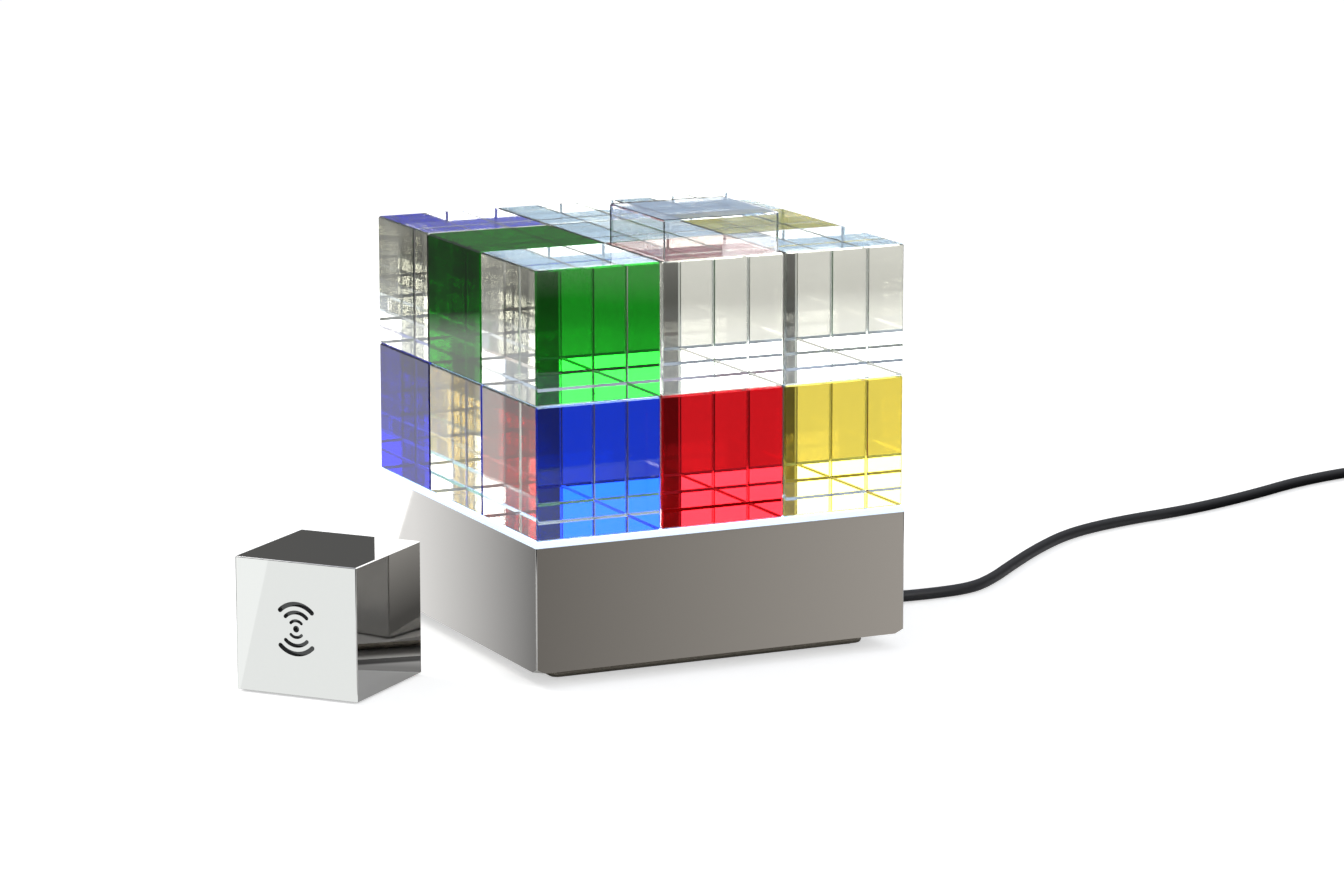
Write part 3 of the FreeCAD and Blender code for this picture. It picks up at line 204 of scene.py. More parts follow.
def crystal(name, through, ior):
    """Glass or acrylic, clear all through: polished faces and a soft sheen on the bevels. What
    it lets through is the colour that is left of white after one cube's width."""
    material, tree, output = new_material(name)
    facing = add(tree, "ShaderNodeNewGeometry").outputs["True Normal"]
    flat = add(tree, "ShaderNodeVectorMath", {0: facing}, operation="ABSOLUTE").outputs["Vector"]
    sides = add(tree, "ShaderNodeSeparateXYZ", {"Vector": flat})
    widest = add(tree, "ShaderNodeMath", {0: sides.outputs["X"], 1: sides.outputs["Y"]},
                 operation="MAXIMUM").outputs["Value"]
    widest = add(tree, "ShaderNodeMath", {0: widest, 1: sides.outputs["Z"]},
                 operation="MAXIMUM").outputs["Value"]
    bevel = add(tree, "ShaderNodeMapRange", {
        "Value": widest, "From Min": BEVEL_SQUARE, "From Max": FACE_SQUARE,
        "To Min": 1.0, "To Max": 0.0}).outputs["Result"]
    # painted shade: the bevels are tinted grey so that the cubes' edges show as darker lines
    tone = add(tree, "ShaderNodeMix", {
        "Factor": bevel, "A": opaque((1, 1, 1)), "B": opaque(linear("#BFC4C6"))},
        data_type="RGBA").outputs["Result"]
    sheen = add(tree, "ShaderNodeMapRange", {
        "Value": bevel, "To Min": 0.0, "To Max": BEVEL_ROUGHNESS}).outputs["Result"]
    glass = add(tree, "ShaderNodeBsdfPrincipled", {
        "Base Color": tone, "Transmission Weight": 1.0, "IOR": ior, "Roughness": sheen})
    lost = [-math.log(max(share, LEAST_SHARE)) / CUBE_SIDE for share in through]
    density = max(lost)
    kept = [1 - part / density for part in lost]
    body = add(tree, "ShaderNodeVolumeAbsorption", {"Color": opaque(kept), "Density": density})
    tree.links.new(glass.outputs["BSDF"], output.inputs["Surface"])
    tree.links.new(body.outputs["Volume"], output.inputs["Volume"])
    return material


def metal(name, colour, roughness, haze, grain, stretch=(1, 1, 1), depth=0.0):
    """Metal under a haze of polishing, brushing or milling marks. Their width and depth are in
    millimetres, and the haze is how much rougher they make it in places."""
    material, tree, output = new_material(name)
    marks = surface_marks(tree, grain, detail=3.0, stretch=stretch)
    tone = add(tree, "ShaderNodeMix", {
        "Factor": marks, "A": opaque(dimmed(FAINT, colour)), "B": opaque(colour)},
        data_type="RGBA").outputs["Result"]
    dullness = add(tree, "ShaderNodeMapRange", {
        "Value": marks, "From Min": MARKS_LOW, "From Max": MARKS_HIGH,
        "To Min": roughness, "To Max": roughness + haze}).outputs["Result"]
    sheet = add(tree, "ShaderNodeBsdfPrincipled", {
        "Base Color": tone, "Metallic": 1.0, "Roughness": dullness})
    if depth:
        tooled = add(tree, "ShaderNodeBump", {
            "Height": marks, "Distance": depth * MM, "Strength": 1.0}).outputs["Normal"]
        tree.links.new(tooled, sheet.inputs["Normal"])
    tree.links.new(sheet.outputs["BSDF"], output.inputs["Surface"])
    return material


def plastic(name, colour, roughness, grain, depth, darkest=0.85, coat=0.0):
    """Moulded plastic or rubber with the fine grain of its mould, its width and depth in
    millimetres, and faint wider clouds down to a share of its colour."""
    material, tree, output = new_material(name)
    cloud = surface_marks(tree, CLOUDS * grain)
    skin = surface_marks(tree, grain, detail=1.0)
    tone = add(tree, "ShaderNodeMix", {
        "Factor": cloud, "A": opaque(dimmed(darkest, colour)), "B": opaque(colour)},
        data_type="RGBA").outputs["Result"]
    dullness = add(tree, "ShaderNodeMapRange", {
        "Value": skin, "From Min": MARKS_LOW, "From Max": MARKS_HIGH,
        "To Min": roughness, "To Max": roughness + GRAIN_DULLS}).outputs["Result"]
    pitted = add(tree, "ShaderNodeBump", {
        "Height": skin, "Distance": depth * MM, "Strength": 1.0}).outputs["Normal"]
    body = add(tree, "ShaderNodeBsdfPrincipled", {
        "Base Color": tone, "IOR": PLASTIC_IOR, "Coat Weight": coat, "Roughness": dullness,
        "Normal": pitted})
    tree.links.new(body.outputs["BSDF"], output.inputs["Surface"])
    return material


def opal_acrylic(settings):
    """Opal acrylic, cast and satin: its face glows bluish white, its edge more weakly."""
    material, tree, output = new_material("opal_acrylic_cast")
    cloud = surface_marks(tree, 9.0)
    tone = add(tree, "ShaderNodeMix", {
        "Factor": cloud, "A": opaque(linear("#EEF2F7")), "B": opaque(linear("#F6F9FD"))},
        data_type="RGBA").outputs["Result"]
    facing = add(tree, "ShaderNodeSeparateXYZ", {
        "Vector": add(tree, "ShaderNodeNewGeometry").outputs["Normal"]}).outputs["Z"]
    glow = add(tree, "ShaderNodeMapRange", {
        "Value": facing, "From Min": EDGE_RISE, "From Max": FACE_RISE,
        "To Min": settings.edge_glow, "To Max": settings.face_glow}).outputs["Result"]
    plate = add(tree, "ShaderNodeBsdfPrincipled", {
        "Base Color": tone, "Roughness": 0.4, "IOR": 1.49,
        "Emission Color": opaque(settings.glow), "Emission Strength": glow})
    tree.links.new(plate.outputs["BSDF"], output.inputs["Surface"])
    return material


def circuit_board(name, mask, copper, row):
    """Circuit board, in another tone where its copper tracks run. They lie in rows so many
    millimetres apart, cross-linked every three such distances."""
    material, tree, output = new_material(name)
    place = add(tree, "ShaderNodeTexCoord").outputs["Object"]
    tracks = add(tree, "ShaderNodeTexBrick", {
        "Vector": place, "Color1": opaque(mask), "Color2": opaque(mask),
        "Mortar": opaque(copper), "Scale": per_mm(2 * row), "Mortar Size": 0.02,
        "Brick Width": 1.5, "Row Height": 0.5})
    raised = add(tree, "ShaderNodeBump", {
        "Height": tracks.outputs["Fac"], "Distance": 0.03 * MM, "Strength": 1.0})
    board = add(tree, "ShaderNodeBsdfPrincipled", {
        "Base Color": tracks.outputs["Color"], "Roughness": 0.35, "IOR": 1.5,
        "Normal": raised.outputs["Normal"]})
    tree.links.new(board.outputs["BSDF"], output.inputs["Surface"])
    return material


def sleeved_pin():
    """Nickel-plated brass pins, each with a black moulded sleeve on its lower half."""
    material, tree, output = new_material("nickel_plated_brass_sleeved")
    sleeve_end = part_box("adapter_front_shell")[1].z + PIN_SLEEVE
    place = add(tree, "ShaderNodeTexCoord").outputs["Object"]
    height = add(tree, "ShaderNodeSeparateXYZ", {"Vector": place}).outputs["Z"]
    bare = add(tree, "ShaderNodeMath", {0: height, 1: sleeve_end},
               operation="GREATER_THAN").outputs["Value"]
    marks = surface_marks(tree, 0.4, stretch=(1, 1, 0.2))
    tone = add(tree, "ShaderNodeMix", {
        "Factor": bare, "A": opaque(linear("#17171A")), "B": opaque(linear("#CFCBC0"))},
        data_type="RGBA").outputs["Result"]
    dullness = add(tree, "ShaderNodeMapRange", {
        "Value": marks, "From Min": MARKS_LOW, "From Max": MARKS_HIGH,
        "To Min": 0.22, "To Max": 0.34}).outputs["Result"]
    pin = add(tree, "ShaderNodeBsdfPrincipled", {
        "Base Color": tone, "Metallic": bare, "Roughness": dullness})
    tree.links.new(pin.outputs["BSDF"], output.inputs["Surface"])
    return material


# ---------------------------------------------------------------- pieces of the light

def dress(material, *names):
    """Give CAD pieces their finish."""
    for name in names:
        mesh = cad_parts[name].data
        mesh.materials.clear()
        mesh.materials.append(material)


class CUBELIGHT_OT_crystal(bpy.types.Operator):
    """Finish the eighteen crystal cubes and the clear cap"""
    bl_idname = "cubelight.crystal"
    bl_label = "Crystal Cubes"

    def execute(self, context):
        settings = context.scene.cubelight_crystal
        # crystal glass, cut and polished: bright and clear, with sharp mirrored images inside
        dress(crystal("clear_crystal_polished", settings.clear, settings.ior), *CLEAR_CUBES)
        # moulded acrylic, a thin wall: what is behind shows unshifted, with a line at each edge
        dress(crystal("clear_acrylic_moulded", settings.acrylic, settings.acrylic_ior), "clear_cap")
        # crystal coloured in the melt: deep colour where the light crosses a whole cube
        for tint in ("green", "blue", "red", "yellow"):
            through = getattr(settings, tint)
            dress(crystal(f"{tint}_crystal_polished", through, settings.ior), f"{tint}_cube")
        return {"FINISHED"}


class CUBELIGHT_OT_base(bpy.types.Operator):
    """Finish the shell, the pan, its pad, all screws and the opal plate"""
    bl_idname = "cubelight.base"
    bl_label = "Base"

    def execute(self, context):
        settings = context.scene.cubelight_base
        # polished stainless: a clear reflection under a breath of polishing lines
        dress(metal("stainless_sheet_polished", settings.steel, roughness=0.03, haze=0.015,
                    grain=0.9, stretch=(0.08, 0.08, 1)), "housing_shell")
        # satin stainless: the pan only shows soft bands of light
        dress(metal("stainless_sheet_satin", settings.pan_steel, roughness=0.24, haze=0.1,
                    grain=0.5, stretch=(0.1, 0.1, 1)), "plinth_pan")
        # foam rubber: dull, with open pores
        dress(plastic("foam_rubber", linear("#1B1B1B"), roughness=0.8, grain=0.6, depth=0.08),
              "base_pad")
        # zinc-plated screws: bluish grey, lightly spangled
        dress(metal("steel_zinc_plated", linear("#A9ACB0"), roughness=0.28, haze=0.12, grain=0.7),
              "pan_screws", "post_screws", "board_screws", "controller_screws")
        # cast opal acrylic: an even bluish glow, with a faint cloud in the white
        dress(opal_acrylic(settings), "diffuser_panel")
        return {"FINISHED"}


class CUBELIGHT_OT_light_engine(bpy.types.Operator):
    """Finish the inner frame, the light sources and the light box"""
    bl_idname = "cubelight.light_engine"
    bl_label = "Light Engine"

    def execute(self, context):
        # zinc-plated sheet: large pale spangles
        dress(metal("steel_sheet_zinc_plated", linear("#B5B8B9"), roughness=0.32, haze=0.14,
                    grain=6.0), "chassis_plate")
        # milled aluminium: even tool marks in one direction
        dress(metal("aluminium_milled", linear("#CFD0D2"), roughness=0.25, haze=0.12, grain=0.6,
                    stretch=(0.1, 1, 1), depth=0.01), "heat_spreader", "led_posts")
        # white solder mask on aluminium: near white and satin, faintly darker along its tracks
        dress(circuit_board("white_solder_mask", linear("#ECEDEB"), linear("#D9DAD4"), row=4.8),
              "led_board")
        # silicone over white ceramic: warm phosphor yellow
        dress(plastic("phosphor_silicone", linear("#EFE29A"), roughness=0.3, grain=0.25,
                      depth=0.01, darkest=0.9), "led_chips")
        # white polycarbonate: matt reflector inside the light box
        dress(plastic("polycarbonate_white", linear("#EFEFEC"), roughness=0.55, grain=0.4,
                      depth=0.01, darkest=0.97), "light_box")
        return {"FINISHED"}


class CUBELIGHT_OT_driver(bpy.types.Operator):
    """Finish the driver board, what stands on it and the wiring inside the base"""
    bl_idname = "cubelight.driver"
    bl_label = "Driver Board"

    def execute(self, context):
        lead = context.scene.cubelight_lead
        # green solder mask on glass epoxy: deep satin green, lighter along its tracks
        dress(circuit_board("green_solder_mask", linear("#12502B"), linear("#2F7B45"), row=2.4),
              "driver_board")
        # nickel-plated brass, turned: pale and slightly yellow, with a soft shine
        dress(metal("brass_nickel_plated", linear("#CFCBC0"), roughness=0.22, haze=0.1,
                    grain=0.4), "board_standoffs")
        # lacquered ferrite: charcoal, half dull, lightly pitted
        dress(plastic("ferrite_lacquered", linear("#2B2C2E"), roughness=0.5, grain=0.5,
                      depth=0.03), "power_choke")
        # shrunk-on sleeve of the cans: dark blue, with a thin gloss
        dress(plastic("capacitor_sleeve", linear("#2A3550"), roughness=0.3, grain=0.5, depth=0.01,
                      coat=0.2), "filter_capacitors")
        # epoxy moulding compound: dull black with a faint sparkle
        dress(plastic("epoxy_black", linear("#1D1D1F"), roughness=0.5, grain=0.2, depth=0.01),
              "driver_chips")
        # tin-plated can: pale, with a blurred reflection
        dress(metal("tin_plated_can", linear("#C6C7C8"), roughness=0.22, haze=0.1, grain=0.8),
              "radio_module")
        # moulded polyamide: half dull, with a waxy grain
        dress(plastic("polyamide_green", linear("#2C7A3E"), roughness=0.45, grain=0.4,
                      depth=0.02), "supply_terminal")
        # the same in its natural colour: a warm, slightly yellow white
        dress(plastic("polyamide_white", linear("#E6E2D6"), roughness=0.45, grain=0.4, depth=0.02,
                      darkest=0.93), "driver_connector", "led_connector")
        # PVC ribbon: plain grey, uneven over its wires
        dress(plastic("ribbon_pvc_grey", linear("#8D8F92"), roughness=0.5, grain=1.2, depth=0.15),
              "led_ribbon")
        # soft PVC, as on the lead outside: black and half dull
        dress(plastic("pvc_black_inner", lead.jacket, roughness=0.45, grain=0.3, depth=0.02),
              "inner_lead")
        return {"FINISHED"}


class CUBELIGHT_OT_adapter(bpy.types.Operator):
    """Finish the plug-in adapter and both strain reliefs"""
    bl_idname = "cubelight.adapter"
    bl_label = "Adapter"

    def execute(self, context):
        settings = context.scene.cubelight_lead
        # PC/ABS from a spark-eroded mould: dull black with a fine grain
        dress(plastic("pc_abs_moulded", settings.housing, roughness=0.42, grain=0.5, depth=0.03),
              "adapter_back_shell", "adapter_front_shell")
        # soft TPE: a touch duller than the lead
        dress(plastic("tpe_moulded", linear("#141416"), roughness=0.55, grain=0.4, depth=0.02),
              "adapter_strain_relief", "cord_strain_relief")
        # nickel-plated brass in moulded sleeves: bright tips on black feet
        dress(sleeved_pin(), "adapter_pins")
        # bare phenolic paper: brown, paler along its tracks
        dress(circuit_board("phenolic_board", linear("#7A5C30"), linear("#9C7B45"), row=3.2),
              "adapter_circuit")
        return {"FINISHED"}


class CUBELIGHT_OT_controller(bpy.types.Operator):
    """Finish the wireless controller, outside and inside"""
    bl_idname = "cubelight.controller"
    bl_label = "Controller"

    def execute(self, context):
        settings = context.scene.cubelight_controller
        # mirror-polished stainless: reflects like glass, hardly hazed
        dress(metal("stainless_mirror_polished", settings.steel, roughness=0.012, haze=0.008,
                    grain=1.2), "controller_shell")
        # black acrylic, cast and glossy: the slots look deep and plain black
        dress(plastic("acrylic_black_gloss", settings.window, roughness=0.08, grain=4.0,
                      depth=0.001, coat=0.5), "controller_window")
        # moulded ABS: dull black with a fine grain
        dress(plastic("abs_black_cover", linear("#1A1A1C"), roughness=0.5, grain=0.5, depth=0.03),
              "controller_cover", "cell_cradle")
        # silicone rubber: black and quite matt
        dress(plastic("silicone_foot", linear("#202022"), roughness=0.7, grain=0.5, depth=0.04),
              "controller_foot")
        # green solder mask again, with closer tracks on so small a board
        dress(circuit_board("green_card_mask", linear("#12502B"), linear("#2F7B45"), row=2.0),
              "controller_circuit")
        # shrunk-on sleeve of the cells: slate blue, mottled as a print is, with a thin gloss
        dress(plastic("cell_sleeve_printed", linear("#39424F"), roughness=0.3, grain=2.0,
                      depth=0.01, darkest=0.7, coat=0.3), "controller_cells")
        return {"FINISHED"}


# ---------------------------------------------------------------- lead

# Where the lead goes from its strain relief to the put-away coil, in metres. The points run out to
# the side, back in a slow curve, then away to the right.
LEAD_ROUTE = [(0.122, -0.0094), (0.144, -0.0076), (0.160, 0.0035), (0.179, 0.0215),
              (0.204, 0.044), (0.232, 0.065), (0.264, 0.0765), (0.301, 0.083),
              (0.341, 0.097), (0.380, 0.115)]
LEAD_Y = -9.0 * MM
LEAD_EXIT_HEIGHT = 2.8 * MM
LEAD_REST = 2.35 * MM
LEAD_STRAIGHT = 14.0 * MM
COIL_APPROACH = 22.0 * MM
COIL_QUARTERS_IN = 16
COIL_QUARTERS_OUT = 17
POINTS_PER_QUARTER = 4


def coil_points(settings):
    """The coil's turns: in to the middle on the table, then out again one layer up."""
    step = settings.diameter + settings.turn_gap
    start_radius = settings.tightest + COIL_QUARTERS_IN / 4 * step
    end_radius = settings.tightest + COIL_QUARTERS_OUT / 4 * step
    radius_of_tube = settings.diameter / 2
    middle = Vector((COIL_HIGH.x - end_radius - radius_of_tube,
                     COIL_HIGH.y - start_radius - radius_of_tube))
    # a quadratic spline runs inside its points by this share of their radius
    drawn_in = (1 + math.cos(math.pi / 2 / POINTS_PER_QUARTER)) / 2
    last = (COIL_QUARTERS_IN + COIL_QUARTERS_OUT) * POINTS_PER_QUARTER
    points = []
    for index in range(1, last):
        quarter = index / POINTS_PER_QUARTER
        angle = math.pi / 2 * (1 - quarter)
        radius = settings.tightest + abs(quarter - COIL_QUARTERS_IN) / 4 * step
        climbed = min(1.0, max(0.0, (quarter - COIL_QUARTERS_IN + 1) / 2))
        points.append((middle.x + radius / drawn_in * math.cos(angle),
                       middle.y + radius / drawn_in * math.sin(angle),
                       LEAD_REST + climbed * step))
    first = (middle.x, middle.y + start_radius, LEAD_REST)
    end = (middle.x + end_radius, middle.y, LEAD_REST + step)
    return first, points, end


def lead_points(settings):
    """Control points of the whole lead, from the strain relief to the adapter."""
    coil_first, turns, coil_end = coil_points(settings)
    points = [(BOOT_TIP, LEAD_Y, LEAD_EXIT_HEIGHT),
              (BOOT_TIP + LEAD_STRAIGHT, LEAD_Y, LEAD_EXIT_HEIGHT)]
    points += [(x, y, LEAD_REST) for x, y in LEAD_ROUTE]
    straight = coil_first[0] - settings.diameter
    points += [(straight - COIL_APPROACH, coil_first[1], LEAD_REST),
               (straight, coil_first[1], LEAD_REST)]
    points += turns
    points += [coil_end, (coil_end[0], coil_end[1] - settings.diameter, coil_end[2])]
    return points


class CUBELIGHT_OT_lead(bpy.types.Operator):
    """Lay the free lead on the table, with its put-away length in a coil"""
    bl_idname = "cubelight.lead"
    bl_label = "Lead"

    def execute(self, context):
        settings = context.scene.cubelight_lead
        points = lead_points(settings)
        curve = bpy.data.curves.new("power_cord", "CURVE")
        curve.dimensions = "3D"
        curve.bevel_depth = settings.diameter / 2
        curve.bevel_resolution = 6
        curve.resolution_u = 10
        curve.use_fill_caps = True
        spline = curve.splines.new("NURBS")
        spline.points.add(len(points) - 1)
        for point, place in zip(spline.points, points):
            point.co = (*place, 1.0)
        spline.order_u = 3
        spline.use_endpoint_u = True
        cord = bpy.data.objects.new("power_cord", curve)
        context.scene.collection.objects.link(cord)
        # soft PVC: black, matt, with a long soft highlight
        curve.materials.append(plastic(
            "pvc_jacket_soft", settings.jacket, roughness=0.42, grain=0.35, depth=0.02))
        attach(cord, "base")
        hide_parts("power_lead", "power_lead_coil")
        return {"FINISHED"}


# ---------------------------------------------------------------- floor

FLOOR_REACH = 20.0
FLOOR_DROP = 0.2 * MM
SEEN_AS_WHITE = 0.54        # what the camera adds to the lit floor, so that it is white
BACK_LEFT = (-0.43, 0.90, 0.0)          # towards where the light behind the glass is brightest
# the painted light and shade on the floor that the glass sees, by how much it lies to the back left
PAINTED_FLOOR_TONES = ((0.00, 0.60), (0.15, 0.01), (0.60, 0.10), (0.74, 0.20), (0.90, 0.95))
DARKEST_AT = PAINTED_FLOOR_TONES[1][0]
JUST_PAST = 0.01            # how little past that a look through glass goes near the light
# how bright that is near the light and far off, and what looking through glass adds far off
NEAR_FLOOR, FAR_FLOOR, FAR_FLOOR_THROUGH = 1.2, 0.1, 0.75
# distances from the middle of the light, in metres, over which the floor changes
POLISH_SEES = (0.29, 0.32)  # polished pieces begin to see it as the glass does
NEAR_TO_FAR = (0.72, 0.80)
GREY_OPENS = (0.86, 0.96)   # the grey in front, for what looks through the glass


def new_sheet(name, spots, faces, material):
    """A flat sheet of the stage."""
    mesh = bpy.data.meshes.new(name)
    mesh.from_pydata(spots, [], faces)
    sheet = bpy.data.objects.new(name, mesh)
    bpy.context.scene.collection.objects.link(sheet)
    mesh.materials.append(material)
    return sheet


def floor_paper(settings):
    """Matt paper sweep. To the camera it is white outside the object's shadow. To the glass, and
    further out to polished metal, it shows painted light instead of its lit paper: pale to the back
    left, dark on the right, and grey in front, an emission without shadows."""
    material, tree, output = new_material("paper_sweep_with_painted_light")
    ray = add(tree, "ShaderNodeLightPath")
    fibre = surface_marks(tree, 1.5)
    paper = add(tree, "ShaderNodeMix", {
        "Factor": fibre, "A": opaque(dimmed(FAINT, settings.floor)), "B": opaque(settings.floor)},
        data_type="RGBA").outputs["Result"]
    diffuse = add(tree, "ShaderNodeBsdfDiffuse", {"Color": paper})
    lift = add(tree, "ShaderNodeMath", {0: ray.outputs["Is Camera Ray"], 1: SEEN_AS_WHITE},
               operation="MULTIPLY").outputs["Value"]
    white = add(tree, "ShaderNodeEmission", {"Strength": lift})
    lit = add(tree, "ShaderNodeAddShader", {0: diffuse.outputs[0], 1: white.outputs[0]})

    # painted light and shade: what the glass and distant polished metal see of the floor is an
    # emission laid out by place, not light from the lamps
    place = add(tree, "ShaderNodeNewGeometry").outputs["Position"]
    away = add(tree, "ShaderNodeVectorMath", {0: place}, operation="LENGTH").outputs["Value"]
    way = add(tree, "ShaderNodeVectorMath", {0: place}, operation="NORMALIZE").outputs["Vector"]
    towards = add(tree, "ShaderNodeVectorMath", {0: way, 1: BACK_LEFT},
                  operation="DOT_PRODUCT").outputs["Value"]
    # what lies further to the front right is as dark as the darkest stop, but a look through
    # glass goes past that stop: a little near the light, and all the way to the grey far off
    opened = add(tree, "ShaderNodeMapRange", {
        "Value": away, "From Min": GREY_OPENS[0], "From Max": GREY_OPENS[1],
        "To Min": -JUST_PAST, "To Max": -DARKEST_AT}).outputs["Result"]
    least = add(tree, "ShaderNodeMath", {
        0: ray.outputs["Is Transmission Ray"], 1: opened, 2: DARKEST_AT},
        operation="MULTIPLY_ADD").outputs["Value"]
    towards = add(tree, "ShaderNodeMath", {0: towards, 1: least},
                  operation="MAXIMUM").outputs["Value"]
    fall = add(tree, "ShaderNodeValToRGB", {"Fac": towards})
    stops = fall.color_ramp.elements
    stops.remove(stops[1])
    stops[0].color = (*[PAINTED_FLOOR_TONES[0][1]] * 3, 1)
    for at, tone in PAINTED_FLOOR_TONES[1:]:
        stops.new(at).color = (tone, tone, tone, 1)
    far_off = add(tree, "ShaderNodeMath", {
        0: ray.outputs["Is Transmission Ray"], 1: FAR_FLOOR_THROUGH, 2: FAR_FLOOR},
        operation="MULTIPLY_ADD").outputs["Value"]
    strength = add(tree, "ShaderNodeMapRange", {
        "Value": away, "From Min": NEAR_TO_FAR[0], "From Max": NEAR_TO_FAR[1],
        "To Min": NEAR_FLOOR, "To Max": far_off}).outputs["Result"]
    painted_floor_glow = add(tree, "ShaderNodeEmission", {
        "Color": fall.outputs["Color"], "Strength": strength})
    past = add(tree, "ShaderNodeMapRange", {
        "Value": away, "From Min": POLISH_SEES[0], "From Max": POLISH_SEES[1],
        "To Min": 0.0, "To Max": 1.0}).outputs["Result"]
    by_polish = add(tree, "ShaderNodeMath", {0: ray.outputs["Is Glossy Ray"], 1: past},
                    operation="MULTIPLY").outputs["Value"]
    by_either = add(tree, "ShaderNodeMath", {0: by_polish, 1: ray.outputs["Is Transmission Ray"]},
                    operation="MAXIMUM").outputs["Value"]
    both = add(tree, "ShaderNodeMixShader", {0: by_either, 1: lit.outputs[0], 2: painted_floor_glow.outputs[0]})
    tree.links.new(both.outputs["Shader"], output.inputs["Surface"])
    return material


# ---------------------------------------------------------------- light and camera

CEILING_RISE = (0.25, 0.8)      # how far up the bright ceiling begins and is full
WINDOW_WAY = (0.66, 0.95)       # how far to the back left the window begins and is full
BEHIND_WAY = (-0.2, 0.3)        # how far to the back left the front ends and the back begins
# how strong the world is: the even light, what the glass sees in front, and what it sees
# behind, away from the window and in it
EVEN_LIGHT, FRONT_LIGHT, WINDOW_LIGHT = 0.62, 0.7, (0.12, 1.2)
LAMPS_AIM = (0, 0, 0.05)
GLASS_BOUNCES = 48              # light crosses many faces before it leaves the block
METAL_BOUNCES = 24
CARD_BOUNCES = 16               # cards seen from behind that a look can pass


def world_light(scene):
    """Even light all round. The camera sees white; polished metal sees a dim room with a bright
    ceiling; the glass sees a bright window behind it to the left and a pale blue one in front."""
    world = bpy.data.worlds.new("studio")
    scene.world = world
    world.use_nodes = True
    world.cycles.sampling_method = "NONE"
    tree = world.node_tree
    tree.nodes.clear()
    output = add(tree, "ShaderNodeOutputWorld")
    ray = add(tree, "ShaderNodeLightPath")
    way = add(tree, "ShaderNodeTexCoord").outputs["Generated"]
    height = add(tree, "ShaderNodeSeparateXYZ", {"Vector": way}).outputs["Z"]
    towards = add(tree, "ShaderNodeVectorMath", {0: way, 1: BACK_LEFT},
                  operation="DOT_PRODUCT").outputs["Value"]
    even = add(tree, "ShaderNodeBackground", {
        "Color": opaque(linear("#F4F7FF")), "Strength": EVEN_LIGHT})
    white = add(tree, "ShaderNodeBackground", {"Color": (1, 1, 1, 1), "Strength": 1.0})
    upwards = add(tree, "ShaderNodeMapRange", {
        "Value": height, "From Min": CEILING_RISE[0], "From Max": CEILING_RISE[1],
        "To Min": 0.0, "To Max": 1.0}).outputs["Result"]
    ceiling = add(tree, "ShaderNodeMix", {
        "Factor": upwards, "A": opaque(linear("#646463")), "B": opaque(linear("#F3F6FF"))},
        data_type="RGBA").outputs["Result"]
    room = add(tree, "ShaderNodeBackground", {"Color": ceiling, "Strength": 1.0})
    brighter = add(tree, "ShaderNodeMapRange", {
        "Value": towards, "From Min": WINDOW_WAY[0], "From Max": WINDOW_WAY[1],
        "To Min": WINDOW_LIGHT[0], "To Max": WINDOW_LIGHT[1]}).outputs["Result"]
    back = add(tree, "ShaderNodeBackground", {"Color": (1, 1, 1, 1), "Strength": brighter})
    front = add(tree, "ShaderNodeBackground", {
        "Color": opaque(linear("#D5E2FF")), "Strength": FRONT_LIGHT})
    behind = add(tree, "ShaderNodeMapRange", {
        "Value": towards, "From Min": BEHIND_WAY[0], "From Max": BEHIND_WAY[1],
        "To Min": 0.0, "To Max": 1.0}).outputs["Result"]
    window = add(tree, "ShaderNodeMixShader", {0: behind, 1: front.outputs[0], 2: back.outputs[0]})
    # the window is for what looks through the glass: it lights no matt surface through it
    unscattered = add(tree, "ShaderNodeMath", {0: ray.outputs["Diffuse Depth"], 1: 0.5},
                      operation="LESS_THAN").outputs["Value"]
    through = add(tree, "ShaderNodeMath", {
        0: ray.outputs["Is Transmission Ray"], 1: unscattered},
        operation="MULTIPLY").outputs["Value"]
    light = even
    # a ray that has passed through glass counts as glossy too, so the glass comes after
    for factor, shader in ((ray.outputs["Is Glossy Ray"], room), (through, window),
                           (ray.outputs["Is Camera Ray"], white)):
        light = add(tree, "ShaderNodeMixShader", {
            0: factor, 1: light.outputs[0], 2: shader.outputs[0]})
    tree.links.new(light.outputs[0], output.inputs["Surface"])


def soft_light(name, place, size, power, tint):
    """A square lamp that points at the object. The camera doesn't see the lamp itself."""
    light = bpy.data.lights.new(name, "AREA")
    light.shape = "SQUARE"
    light.size = size
    light.energy = power
    light.color = linear(tint)
    lamp = bpy.data.objects.new(name, light)
    lamp.location = place
    lamp.rotation_mode = "QUATERNION"
    lamp.rotation_quaternion = (Vector(LAMPS_AIM) - Vector(place)).to_track_quat("-Z", "Y")
    lamp.visible_camera = False
    bpy.context.scene.collection.objects.link(lamp)


